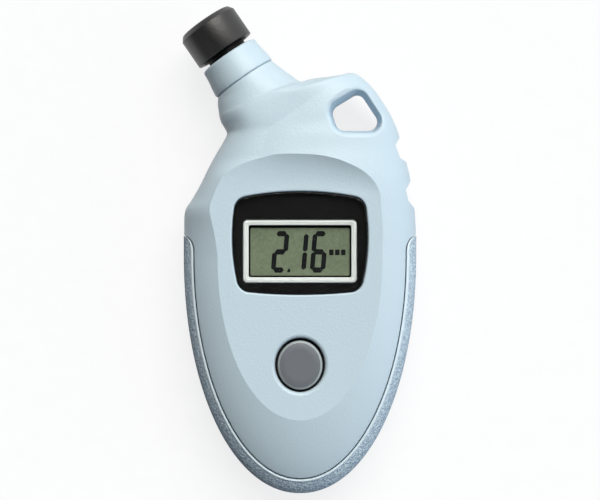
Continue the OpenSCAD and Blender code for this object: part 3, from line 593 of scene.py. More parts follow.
class Blank:
    """A closed mesh in millimetres on its way to becoming a piece."""

    def __init__(self) -> None:
        """Starts empty."""
        self.bm = bmesh.new()

    def skin(self, rings: Sequence[Ring], closed: bool = False, tint: Tint = None) -> "Blank":
        """Lays a skin over a row of rings that have the same number of points.

        Args:
            rings: The rings in order.
            closed: True joins the last ring to the first; otherwise both ends are filled.
            tint: Gives the material number of the quad at a row and column.

        Returns:
            The blank itself.
        """
        rows = [*rings, rings[0]] if closed else list(rings)
        count = len(rings[0])
        return self.sheet(len(rows) - 1, count, lambda row, column: rows[row][column % count], tint)

    def sheet(self, rows: int, columns: int, place: Callable[[int, int], Vector],
              tint: Tint = None) -> "Blank":
        """Lays a grid, puts its points in place and closes it.

        Args:
            rows: Number of rows of quads.
            columns: Number of columns of quads.
            place: Gives the point at a row and column.
            tint: Gives the material number of the quad at a row and column.

        Returns:
            The blank itself.
        """
        bmesh.ops.create_grid(self.bm, x_segments=columns, y_segments=rows, size=0.5)
        if tint:
            for face in self.bm.faces:
                middle = face.calc_center_median()
                face.material_index = tint(int((middle.y + 0.5) * rows), int((middle.x + 0.5) * columns))
        for vert in self.bm.verts:
            vert.co = place(round((vert.co.y + 0.5) * rows), round((vert.co.x + 0.5) * columns))
        return self.merge().fill().tidy()

    def revolve(self, profile: Table, steps: int = FACETS, start: float = 0.0,
                turn: float = 360.0) -> "Blank":
        """Turns a closed profile round the z axis.

        Args:
            profile: Radius and height of its points.
            steps: Steps of the turn.
            start: Angle at which it starts, in degrees.
            turn: How far it turns, in degrees.

        Returns:
            The blank itself.
        """
        first = Matrix.Rotation(math.radians(start), 3, "Z")
        verts = [self.bm.verts.new(first @ Vector((r, 0, z))) for r, z in profile]
        edges = [self.bm.edges.new(pair) for pair in zip(verts, verts[1:] + verts[:1])]
        whole = abs(turn) >= 360
        bmesh.ops.spin(self.bm, geom=verts + edges, cent=(0, 0, 0), axis=(0, 0, 1), angle=math.radians(turn),
                       steps=steps, use_merge=whole, use_duplicate=False)
        self.merge()
        bmesh.ops.delete(self.bm, geom=[e for e in self.bm.edges if e.is_wire], context="EDGES")
        return (self if whole else self.fill()).tidy()

    def prism(self, outline: Plan, low: float, high: float) -> "Blank":
        """Stands an outline up between two heights and returns the blank."""
        return self.skin([level(outline, low), level(outline, high)])

    def merge(self) -> "Blank":
        """Merges points that coincide.

        Returns:
            The blank itself.
        """
        bmesh.ops.remove_doubles(self.bm, verts=self.bm.verts[:], dist=TINY)
        bmesh.ops.dissolve_degenerate(self.bm, dist=TINY, edges=self.bm.edges[:])
        return self

    def fill(self) -> "Blank":
        """Fills the open ends and returns the blank."""
        bmesh.ops.holes_fill(self.bm, edges=[e for e in self.bm.edges if e.is_boundary])
        return self

    def tidy(self) -> "Blank":
        """Turns all faces outwards and returns the blank."""
        bmesh.ops.recalc_face_normals(self.bm, faces=self.bm.faces[:])
        return self

    def move(self, matrix: Matrix) -> "Blank":
        """Turns and shifts the whole blank and returns it."""
        bmesh.ops.transform(self.bm, matrix=matrix, verts=self.bm.verts[:])
        return self

    def shift(self, x: float, y: float, z: float = 0.0) -> "Blank":
        """Shifts the whole blank and returns it."""
        return self.move(Matrix.Translation((x, y, z)))

    def add(self, other: "Blank") -> "Blank":
        """Takes in another blank that lies clear of this one.

        Args:
            other: The other blank.

        Returns:
            The blank itself.
        """
        loose = bpy.data.meshes.new("loose")
        other.bm.to_mesh(loose)
        self.bm.from_mesh(loose)
        bpy.data.meshes.remove(loose)
        return self

    def copy(self) -> "Blank":
        """Returns a copy of the blank."""
        return Blank().add(self)

    def bevel(self, chosen: Callable[[bmesh.types.BMEdge], bool], width: float, segments: int = 2) -> "Blank":
        """Rounds edges.

        Args:
            chosen: Tells whether an edge is rounded.
            width: Width of the rounding.
            segments: Its segments.

        Returns:
            The blank itself.
        """
        edges = [e for e in self.bm.edges if chosen(e)]
        bmesh.ops.bevel(self.bm, geom=edges, offset=width, offset_type="OFFSET", segments=segments,
                        profile=0.5, affect="EDGES", clamp_overlap=True, material=-1)
        return self.tidy()

    def combine(self, tool: "Blank", how: Cut) -> "Blank":
        """Cuts with, joins or keeps what is shared with another blank.

        Args:
            tool: The other blank.
            how: The way to combine them.

        Returns:
            The blank itself.
        """
        loose = []
        for blank in (self, tool):
            mesh = bpy.data.meshes.new("loose")
            blank.bm.to_mesh(mesh)
            loose.append(bpy.data.objects.new("loose", mesh))
            bpy.context.scene.collection.objects.link(loose[-1])
        step = loose[0].modifiers.new("combine", "BOOLEAN")
        step.solver = "MANIFOLD"
        step.operation = how.value
        step.object = loose[1]
        before = self.bm.calc_volume()
        solved = loose[0].evaluated_get(bpy.context.evaluated_depsgraph_get())
        result = bpy.data.meshes.new_from_object(solved)
        self.bm.clear()
        self.bm.from_mesh(result)
        for mesh in (loose[0].data, loose[1].data, result):
            bpy.data.meshes.remove(mesh)
        if abs(self.bm.calc_volume() - before) < TINY:
            raise RuntimeError(f"a {how.name} combination changed nothing")
        return self

    def surface(self) -> BVHTree:
        """Returns a tree for shooting rays at the blank."""
        return BVHTree.FromBMesh(self.bm)


def make_piece(name: str, blank: Blank, finishes: Sequence[Finish], body: Body,
               nodes: Sequence[str] = (), crease: float = 32.0) -> Piece:
    """Turns a blank into a piece that rides on a body.

    Args:
        name: The piece's name.
        blank: Its mesh in millimetres.
        finishes: Its finishes, by material number.
        body: The body that carries it.
        nodes: The solids that it stands for.
        crease: Angle in degrees above which an edge stays sharp.

    Returns:
        The piece.
    """
    mesh = bpy.data.meshes.new(name)
    blank.move(Matrix.Diagonal((MM, MM, MM, 1))).bm.to_mesh(mesh)
    blank.bm.free()
    for finish in finishes:
        mesh.materials.append(finish.material())
    mesh.shade_smooth()
    mesh.set_sharp_from_angle(angle=math.radians(crease))
    piece = bpy.data.objects.new(name, mesh)
    bpy.context.scene.collection.objects.link(piece)
    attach(piece, body.value)
    if nodes:
        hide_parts(*nodes)
    log.info("%s: %d faces on %s", name, len(mesh.polygons), body.value)
    return piece


# Forms of the housing


@dataclass(frozen=True)
class NeckAxis:
    """The line along which the valve head sits and round which it turns."""

    tilt: float = 34.5
    x: float = -11.85
    y: float = 36.7
    z: float = 10.5
    radius: float = 7.0

    def spot(self, along: float, across: float) -> Vector:
        """Finds a plan point by its place on the axis.

        Args:
            along: Distance along the axis.
            across: Distance across it, to the right.

        Returns:
            The point.
        """
        lean = math.radians(self.tilt)
        return Vector((self.x - along * math.sin(lean) + across * math.cos(lean),
                       self.y + along * math.cos(lean) + across * math.sin(lean)))

    def reach(self, spot: Vector) -> tuple[float, float]:
        """Finds the place of a plan point on the axis.

        Args:
            spot: The point.

        Returns:
            Its distances along the axis and across it.
        """
        lean = math.radians(self.tilt)
        dx, dy = spot.x - self.x, spot.y - self.y
        return dy * math.cos(lean) - dx * math.sin(lean), dx * math.cos(lean) + dy * math.sin(lean)

    def lay(self) -> Matrix:
        """Returns the turn and shift that lay an upright shape along the axis."""
        turn = Matrix.Rotation(math.radians(self.tilt), 4, "Z") @ Matrix.Rotation(math.radians(-90), 4, "X")
        return Matrix.Translation((self.x, self.y, self.z)) @ turn


@dataclass(frozen=True)
class Rib:
    """A straight line across the body, with the rise and the fullness of the front and the back over it."""

    left: Vector
    right: Vector
    crown: float
    full_left: float
    full_right: float
    back: float
    full_back: float

    def spot(self, s: float) -> Vector:
        """Returns the plan point at the place s, from -1 at the left end to 1 at the right end."""
        return (self.left + self.right) / 2 + s * (self.right - self.left) / 2

    def inner(self, side: float, wall: float) -> "Rib":
        """Makes the rib of the hollow.

        Args:
            side: How far it moves in at its ends.
            wall: How far it moves in at its top.

        Returns:
            The rib.
        """
        way = (self.right - self.left).normalized() * side
        return Rib(self.left + way, self.right - way, self.crown - wall, self.full_left, self.full_right,
                   self.back - wall, self.full_back)


@dataclass(frozen=True)
class BodyForm:
    """The outer skin of the housing as a row of ribs from the tip to the neck."""

    neck: NeckAxis = NeckAxis()
    half_width: float = 25.0
    tip_length: float = 51.3
    tip_fullness: float = 2.07
    front_fullness: float = 2.0
    back_fullness: float = 4.0
    waist_y: float = -1.0
    parting_z: float = 10.5
    face_z: float = 19.4
    crown: float = 12.4
    back: float = 12.1
    wall: float = 2.0
    face_wall: float = 2.2
    scoop_radius: float = 14.5
    scoop_y: float = 13.7
    scoop_bow: float = 60.0
    scoop_ease: float = 0.3
    scoop_ease_left: float = 0.15
    scoop_least: float = 11.5
    scoop_end: float = 0.95
    soft: float = 0.8
    tip_droop: float = 1.14
    neck_rise: float = 8.6
    neck_end: float = -12.0
    neck_fall: float = 0.0105
    neck_soft: float = 0.5
    climb: float = 0.27
    climb_soft: float = 0.3
    climb_side: float = 2.0
    fade_y: float = 15.0
    fade: float = 5.0
    dimple_along: float = -6.6
    dimple_across: float = -7.6
    dimple_size: float = 1.5
    dimple_depth: float = 0.55
    low_rows: int = 60
    span_rows: int = 6
    across: int = 128
    cutter_half: int = 40
    cutter_far: float = 60.0
    cutter_turns: range = range(0, 73, 4)

    @property
    def tip_y(self) -> float:
        """Place of the lower tip."""
        return self.waist_y - self.tip_length

    def side(self, sign: int, inset: float, rise: float) -> Vector:
        """Returns a plan point at a side, inset from the full width and above the widest line."""
        return Vector((sign * (self.half_width - inset), self.waist_y + rise))

    def keys(self) -> list[tuple]:
        """Lists the ribs that rule the upper body.

        Returns:
            For each its two ends, crown share, left and right fullness, back share and back fullness.
        """
        at, neck = self.side, self.neck.spot
        return [
            (at(-1, 0, 0), at(1, 0, 0), 1, 2, 2, 1, 4),
            (at(-1, 0.1, 5), at(1, 0.1, 5), 1, 2.3, 2.05, 1, 4),
            (at(-1, 0.3, 9.3), at(1, 0.35, 9.6), 0.97, 2.9, 2.1, 1, 4),
            (at(-1, 1.9, 12), at(1, 0.75, 13), 0.93, 3.6, 2.15, 1, 4),
            (at(-1, 3.7, 15.2), at(1, 1.3, 16.4), 0.855, 4.3, 2.2, 1, 4),
            (at(-1, 5.3, 18.5), at(1, 2.1, 19.8), 0.733, 4.6, 2.3, 1, 4),
            (at(-1, 6.8, 21.3), at(1, 3, 23.2), 0.613, 5, 2.4, 1, 4),
            (at(-1, 8.4, 24), at(1, 4, 26.6), 0.53, 5.4, 2.5, 1, 4),
            (at(-1, 9.3, 25.9), at(1, 5.3, 29.6), 0.43, 5.7, 2.6, 1, 4),
            (neck(-6.2, -9.55), at(1, 7.3, 33), 0.38, 6, 2.8, 0.85, 3.6),
            (neck(-5, -9.5), at(1, 9.9, 36.4), 0.33, 6, 3, 0.7, 3.2),
            (neck(-4.4, -9.35), at(1, 13.1, 38.9), 0.3, 5.6, 3, 0.55, 3),
            (neck(-3.9, -9.2), at(1, 15.6, 38.65), 0.28, 5, 2.8, 0.45, 2.8),
            (neck(-3.5, -9.05), at(1, 18.6, 38.2), 0.25, 4.2, 2.6, 0.38, 2.7),
            (neck(-3.1, -8.85), at(1, 21.4, 37.9), 0.22, 3.4, 2.45, 0.3, 2.6),
            (neck(-2.3, -8.45), neck(-7.4, 9.8), 0.17, 2.7, 2.25, 0.25, 2.4),
            (neck(-1.5, -8.05), neck(-5, 8.7), 0.11, 2.3, 2.1, 0.15, 2.2),
            (neck(-0.8, -7.6), neck(-2.4, 7.8), 0.05, 2, 2, 0.06, 2.1),
            (neck(0, -7), neck(0, 7), 0, 2, 2, 0, 2),
        ]

    def share(self, way: float) -> float:
        """Returns the share of the half width at a share of the way down to the tip."""
        return max(0.0, 1 - way ** self.tip_fullness) ** (1 / self.tip_fullness)

    def rise(self, way: float) -> float:
        """Returns the rise of the front at a share of the way down to the tip."""
        return self.crown * self.share(way) ** self.tip_droop

    def depth(self, way: float) -> float:
        """Returns the rise of the back at a share of the way down to the tip."""
        return self.back * max(0.0, 1 - way ** (2 * self.tip_fullness)) ** (1 / self.back_fullness)

    def ribs(self) -> list[Rib]:
        """Makes all the ribs.

        Returns:
            The ribs, from the tip to the neck.
        """
        row = []
        front, back = self.front_fullness, self.back_fullness
        for i in range(self.low_rows):
            way = max(0.0, math.cos(math.pi / 2 * i / self.low_rows)) ** (2 / self.tip_fullness)
            x, y = self.half_width * self.share(way), self.waist_y - self.tip_length * way
            left, right = Vector((-x, y)), Vector((x, y))
            row.append(Rib(left, right, self.rise(way), front, front, self.depth(way), back))
        keys, neck = self.keys(), self.neck.radius
        last = len(keys) - 1
        for step in range(last * self.span_rows + 1):
            i, t = min(step // self.span_rows, last), step % self.span_rows / self.span_rows
            four = [keys[max(i - 1, 0)], keys[i], keys[min(i + 1, last)], keys[min(i + 2, last)]]
            left, right, high, full_left, full_right, low, full_back = [spline(*k, t) for k in zip(*four)]
            row.append(Rib(left, right, neck + high * (self.crown - neck), full_left, full_right,
                           neck + low * (self.back - neck), full_back))
        return row

    def scoop_size(self, x: float) -> float:
        """Returns the scoop's radius, which grows towards the left."""
        left = self.scoop_ease_left * min(0.0, x) ** 2
        return max(self.scoop_least, self.scoop_radius - self.scoop_ease * x + left)

    def face(self, spot: Vector) -> float:
        """Finds the height of the flat face and of the scoop that rises from it.

        Args:
            spot: The plan point.

        Returns:
            The height there.
        """
        way = spot.y - self.scoop_y + spot.x ** 2 / (2 * self.scoop_bow)
        if way <= 0:
            return self.face_z
        radius = self.scoop_size(spot.x)
        inside = way < self.scoop_end * radius
        return self.face_z + (radius - math.sqrt(radius ** 2 - way ** 2) if inside else radius)

    def neck_slope(self, spot: Vector) -> float:
        """Finds the rise of the neck, and of the slope that climbs from its end to the shoulder.

        Args:
            spot: The plan point.

        Returns:
            The rise there.
        """
        along, across = self.neck.reach(spot)
        way = along - self.neck_end
        soft = self.climb_soft + max(0.0, -across - self.climb_side)
        fall = self.neck_fall * max(0.0, way) ** 2
        return self.neck_rise - fall - self.climb * soft_min(way, 0.0, soft)

    def dent(self, spot: Vector) -> float:
        """Finds the depth of the dimple beside the neck's root.

        Args:
            spot: The plan point.

        Returns:
            The depth there.
        """
        along, across = self.neck.reach(spot)
        off = (along - self.dimple_along) ** 2 + (across - self.dimple_across) ** 2
        return self.dimple_depth * math.exp(-off / (2 * self.dimple_size * self.dimple_size))

    def height(self, rib: Rib, s: float, half: Half, drop: Optional[float]) -> float:
        """Finds how far the skin stands off the parting plane.

        Args:
            rib: The rib.
            s: The place on it.
            half: The half of the housing.
            drop: Thickness that is taken off the flat face or back; None leaves the full crown.

        Returns:
            The distance.
        """
        if half is Half.FRONT:
            full = rib.full_left if s < 0 else rib.full_right
            curve = rib.crown * math.sqrt(max(0.0, 1 - abs(s) ** full))
            if drop is None:
                spot = rib.spot(s)
                if spot.y < self.scoop_y:
                    return curve
                lack = 1 - soft_min(rib.crown, self.neck_slope(spot), self.neck_soft) / rib.crown
                way = min(1.0, max(0.0, (spot.y - self.fade_y) / self.fade))
                return max(0.0, curve * (1 - lack * way * way * (3 - 2 * way)) - self.dent(spot))
            flat = self.face(rib.spot(s)) - drop - self.parting_z
        else:
            curve = rib.back * max(0.0, 1 - abs(s) ** rib.full_back) ** (1 / rib.full_back)
            flat = self.parting_z - drop
        return max(0.0, soft_min(curve, flat, self.soft))

    def half_body(self, ribs: Sequence[Rib], half: Half, drop: Optional[float], past: float = 0.0) -> Blank:
        """Builds one half of the body as a closed blank.

        Args:
            ribs: Its ribs.
            half: The half of the housing.
            drop: Thickness that is taken off the flat face or back; None leaves the full crown.
            past: How far it reaches past the parting plane.

        Returns:
            The blank.
        """
        def place(row: int, column: int) -> Vector:
            """Finds a point of a rib; the last column goes straight back to the first.

            Args:
                row: Number of the rib.
                column: Number of the point on it.

            Returns:
                The point.
            """
            s = math.sin(math.pi * (column % (self.across + 1) / self.across - 0.5))
            spot = ribs[row].spot(s)
            rise = self.height(ribs[row], s, half, drop) - past
            return Vector((spot.x, spot.y, self.parting_z + half.value * rise))

        return Blank().sheet(len(ribs) - 1, self.across + 1, place)

    def half_turned(self, profile: Table, half: Half, steps: int = FACETS) -> Blank:
        """Turns a profile round the neck's axis and keeps the part in one half of the housing.

        Args:
            profile: Radius and place along the axis of its points.
            half: The half that is kept.
            steps: Steps of the turn.

        Returns:
            The blank.
        """
        blank = Blank().revolve(profile, steps).move(self.neck.lay())
        geom = blank.bm.verts[:] + blank.bm.edges[:] + blank.bm.faces[:]
        cut = bmesh.ops.bisect_plane(blank.bm, geom=geom, plane_co=(0, 0, self.parting_z),
                                     plane_no=(0, 0, -half.value), clear_outer=True)
        edges = [e for e in cut["geom_cut"] if isinstance(e, bmesh.types.BMEdge)]
        bmesh.ops.holes_fill(blank.bm, edges=edges)
        return blank.tidy()

    def face_cutter(self) -> Blank:
        """Makes the cutter that leaves the flat face and the scoop above it.

        Returns:
            The cutter.
        """
        far, z = self.cutter_far, self.face_z
        turns = [math.radians(q) for q in self.cutter_turns]
        rings = []
        for x in range(-self.cutter_half, self.cutter_half + 1):
            radius = self.scoop_size(x)
            y = self.scoop_y - x ** 2 / (2 * self.scoop_bow)
            scoop = [(y + radius * math.sin(t), z + radius * (1 - math.cos(t))) for t in turns]
            ring = [(-far, z), *scoop, (scoop[-1][0], far), (-far, far)]
            rings.append([Vector((x, *point)) for point in ring])
        return Blank().skin(rings)

    def rim(self, spot: Vector, half: Half) -> float:
        """Finds the height of the lower body's skin near its edge.

        Args:
            spot: The plan point.
            half: The half of the housing.

        Returns:
            The height there.
        """
        way = min(1.0, max(0.0, self.waist_y - spot.y) / self.tip_length)
        s = min(1.0, abs(spot.x) / (self.half_width * max(self.share(way), TINY)))
        if half is Half.FRONT:
            return self.parting_z + self.rise(way) * math.sqrt(max(0.0, 1 - s * s))
        curve = self.depth(way) * max(0.0, 1 - s ** self.back_fullness) ** (1 / self.back_fullness)
        return self.parting_z - soft_min(curve, self.parting_z, self.soft)


@dataclass(frozen=True)
class Station:
    """A place along the band, with its outward direction, the band's depth and its share of the section."""

    place: Vector
    outward: Vector
    depth: float
    share: float


@dataclass(frozen=True)
class GripBand:
    """The soft pebbled band round the lower body, with a smooth bead along its inner edges."""

    form: BodyForm = BodyForm()
    depth: float = 2.3
    tip_depth: float = 3.4
    rise: float = 4.0
    end: float = 3.4
    end_share: float = 0.08
    gap: float = 0.22
    tongue_height: float = 1.6
    tongue: float = 1.0
    tongue_play: float = 0.1
    tongue_share: float = 0.3
    lay: float = 0.15
    tip_turns: range = range(180, 361, 2)
    end_turns: range = range(0, 90, 6)
    bead: Table = ((0, 0.8), (0.03, 0.42), (0.09, 0.28), (0.18, 0.17), (0.28, 0.07), (0.38, -0.02),
                   (0.46, -0.05), (0.53, 0.03), (0.6, 0.18), (0.68, 0.25), (0.82, 0.22))
    flank: Sequence[float] = (0.88, 0.72, 0.56, 0.42, 0.3, 0.2, 0.12, 0.06, 0.024, 0.006)
    flank_sink: float = 0.2
    bead_lap: int = 2
    lips: Table = ((0.0, 0.3), (0.05, 0.1), (0.18, -0.02))
    cutter_out: float = -4.0
    cutter_high: float = 40.0
    cutter_low: float = -20.0
    seat_out: float = -2.0
    crease: float = 50.0

    def share(self, y: float, least: float) -> float:
        """Returns the share of the full section at a height near the band's ends."""
        way = (y - self.form.waist_y - self.rise + self.end) / self.end
        return 1.0 if way <= 0 else max(least, math.sqrt(max(0.0, 1 - way * way)))

    def path(self, least: float, beyond: float = 0.0) -> list[Station]:
        """Walks along the band from its left end round the tip to its right end.

        Args:
            least: The smallest share of the section, at the ends.
            beyond: How far the path goes past the band's ends.

        Returns:
            The stations.
        """
        form = self.form
        rises = [self.rise * math.cos(math.radians(q)) for q in self.end_turns]
        shares = [self.share(form.waist_y + r, least) for r in rises]
        rises[0] += beyond
        ends = {sign: [Station(Vector((sign * form.half_width, form.waist_y + r)), Vector((sign, 0)),
                               self.depth * s, s) for r, s in zip(rises, shares)] for sign in (-1, 1)}
        round_tip = []
        for q in self.tip_turns:
            sine, cosine = math.sin(math.radians(q)), math.cos(math.radians(q))
            way = abs(sine) ** (2 / form.tip_fullness)
            x = math.copysign(form.half_width * form.share(way), cosine) if q != 270 else 0.0
            outward = Vector((cosine / form.half_width, sine / form.tip_length)).normalized()
            depth = self.depth + (self.tip_depth - self.depth) * sine * sine
            round_tip.append(Station(Vector((x, form.waist_y - form.tip_length * way)), outward, depth, 1.0))
        return ends[-1] + round_tip + ends[1][::-1]

    def point(self, at: Station, inward: float, half: Half, sink: float) -> Vector:
        """Returns the point at a distance in from the rim, sunk below the skin of one half."""
        spot = at.place - inward * at.outward
        return Vector((spot.x, spot.y, self.form.rim(spot, half) - half.value * sink))

    def level_ring(self, at: Station, corners: Table) -> Ring:
        """Returns the points at distances in from the rim and at heights over the parting plane."""
        spots = [(at.place - inward * at.outward, rise) for inward, rise in corners]
        return [Vector((spot.x, spot.y, self.form.parting_z + rise)) for spot, rise in spots]

    def section(self, at: Station) -> Ring:
        """Makes the band's section.

        Args:
            at: The station.

        Returns:
            The section, from the front's inner edge round the rim to the tongue.
        """
        width = at.depth - self.bead[-1][0] * at.share
        halves = []
        for half in Half:
            bead = [self.point(at, at.depth - e * at.share, half, sink * at.share) for e, sink in self.bead]
            sink = self.flank_sink * at.share
            halves.append(bead + [self.point(at, f * width, half, sink * f) for f in self.flank])
        high, deep = at.share * self.tongue_height / 2, at.depth + self.tongue * at.share
        tongue = ((at.depth, -high), (deep, -high), (deep, high), (at.depth, high))
        return halves[0] + self.level_ring(at, ((0.0, 0.0),)) + halves[1][::-1] + self.level_ring(at, tongue)

    def slot_section(self, at: Station) -> Ring:
        """Makes the section of the cutter of the band's groove, with softened lips.

        Args:
            at: The station.

        Returns:
            The section.
        """
        wall, z = at.depth + self.gap, self.form.parting_z
        front, rear = [[self.point(at, wall + e, half, sink) for e, sink in self.lips] for half in Half]
        deep, out, high, low = wall + self.lips[-1][0], self.cutter_out, self.cutter_high, self.cutter_low
        far = ((deep, high - z), (out, high - z), (out, low - z), (deep, low - z))
        return front + self.level_ring(at, far) + rear[::-1]

    def seat_section(self, at: Station) -> Ring:
        """Makes the section of the cutter of the tongue's seat.

        Args:
            at: The station.

        Returns:
            The section.
        """
        deep = at.depth + self.tongue * at.share + self.lay
        high, out = at.share * self.tongue_height / 2 + self.tongue_play, self.seat_out
        return self.level_ring(at, ((deep, high), (out, high), (out, -high), (deep, -high)))

    def cutters(self) -> list[Blank]:
        """Returns the cutters of the band's groove and of its tongue's seat."""
        groove = Blank().skin([self.slot_section(at) for at in self.path(self.end_share, self.gap)])
        return [groove, Blank().skin([self.seat_section(at) for at in self.path(self.tongue_share)])]

    def build(self) -> Piece:
        """Builds and dresses the band.

        Returns:
            Its piece.
        """
        rings = [self.section(at) for at in self.path(self.end_share)]
        bead = len(self.bead) - self.bead_lap
        rear = 2 * (len(self.bead) + len(self.flank)) + 1
        smooth = set(range(bead)) | set(range(rear - bead, rear))
        blank = Blank().skin(rings, tint=lambda row, column: int(column in smooth))
        return make_piece("grip_band_soft", blank, (GRIP, GRIP_BEAD), Body.HOUSING,
                          ["grip_band"], self.crease)


@dataclass(frozen=True)
class LensForm:
    """The outline of the window: four bowed sides with round corners."""

    width: float = 28.8
    top: float = 12.4
    bottom: float = -9.5
    side_radius: float = 43.0
    top_radius: float = 62.0
    low_radius: float = 110.0
    belly: float = 9.7
    corner: float = 3.0

    def corner_spot(self, one: Triple, two: Triple) -> Vector:
        """Finds the middle of a round corner on the right.

        Args:
            one: Middle and radius of the right side.
            two: Middle and radius of the side that it meets.

        Returns:
            The point.
        """
        gap = Vector(two[:2]) - Vector(one[:2])
        a, b = one[2] - self.corner, two[2] - self.corner
        along = (a * a - b * b + gap.length_squared) / (2 * gap.length)
        off = math.sqrt(a * a - along * along)
        way = gap.normalized()
        spots = [Vector(one[:2]) + along * way + sign * off * Vector((-way.y, way.x)) for sign in (-1, 1)]
        return max(spots, key=lambda p: p.x)

    def outline(self, grow: float, steps: int = 10) -> Plan:
        """Draws the outline.

        Args:
            grow: Distance by which it is larger all round.
            steps: Steps along each side and corner.

        Returns:
            The outline, anticlockwise from the middle of the lower side.
        """
        right = (self.width / 2 - self.side_radius, self.top - self.belly, self.side_radius)
        top = (0.0, self.top - self.top_radius, self.top_radius)
        low = (0.0, self.bottom + self.low_radius, self.low_radius)

        def lean(circle: Triple, spot: Vector) -> float:
            """Returns the direction from a circle's middle to a point, in degrees."""
            return math.degrees(math.atan2(spot.y - circle[1], spot.x - circle[0]))

        high_corner, low_corner = self.corner_spot(right, top), self.corner_spot(right, low)
        soft = self.corner + grow
        half = arc(*low[:2], low[2] + grow, -90, lean(low, low_corner), steps)[1:-1]
        half += arc(*low_corner, soft, lean(low, low_corner), lean(right, low_corner), steps)[:-1]
        half += arc(*right[:2], right[2] + grow, lean(right, low_corner), lean(right, high_corner), steps)
        half += arc(*high_corner, soft, lean(right, high_corner), lean(top, high_corner), steps)[1:]
        half += arc(*top[:2], top[2] + grow, lean(top, high_corner), 90, steps)[1:-1]
        return half + [Vector((-p.x, p.y)) for p in half[::-1]]


@dataclass(frozen=True)
class Levels:
    """Heights above the back that the pieces share."""

    board_top: float = 8.6
    ledge: float = 16.25
    pocket: float = 17.45
    ceiling: float = 17.2
    plate_top: float = 16.1
    frame_top: float = 17.3
    display: float = 15.9


@dataclass(frozen=True)
class Opening:
    """An opening in the face with a rounded lip, which ends in a short slope."""

    outline: Callable[[float], Plan]
    floor: float
    lip: float
    turn: float = 75.0
    steps: int = 10
    slope: float = 0.3
    above: float = 4.0

    def cutter(self, face: float) -> Blank:
        """Makes the cutter.

        Args:
            face: Height of the face.

        Returns:
            The cutter.
        """
        rings = [level(self.outline(0), self.floor)]
        for step in range(self.steps + 1):
            turn = math.radians(self.turn * step / self.steps)
            out, drop = self.lip * (1 - math.cos(turn)), self.lip * (1 - math.sin(turn))
            rings.append(level(self.outline(out), face - drop))
        rise = self.slope * math.tan(math.radians(90 - self.turn))
        for z in (face - drop + rise, face + self.above):
            rings.append(level(self.outline(out + self.slope), z))
        return Blank().skin(rings)


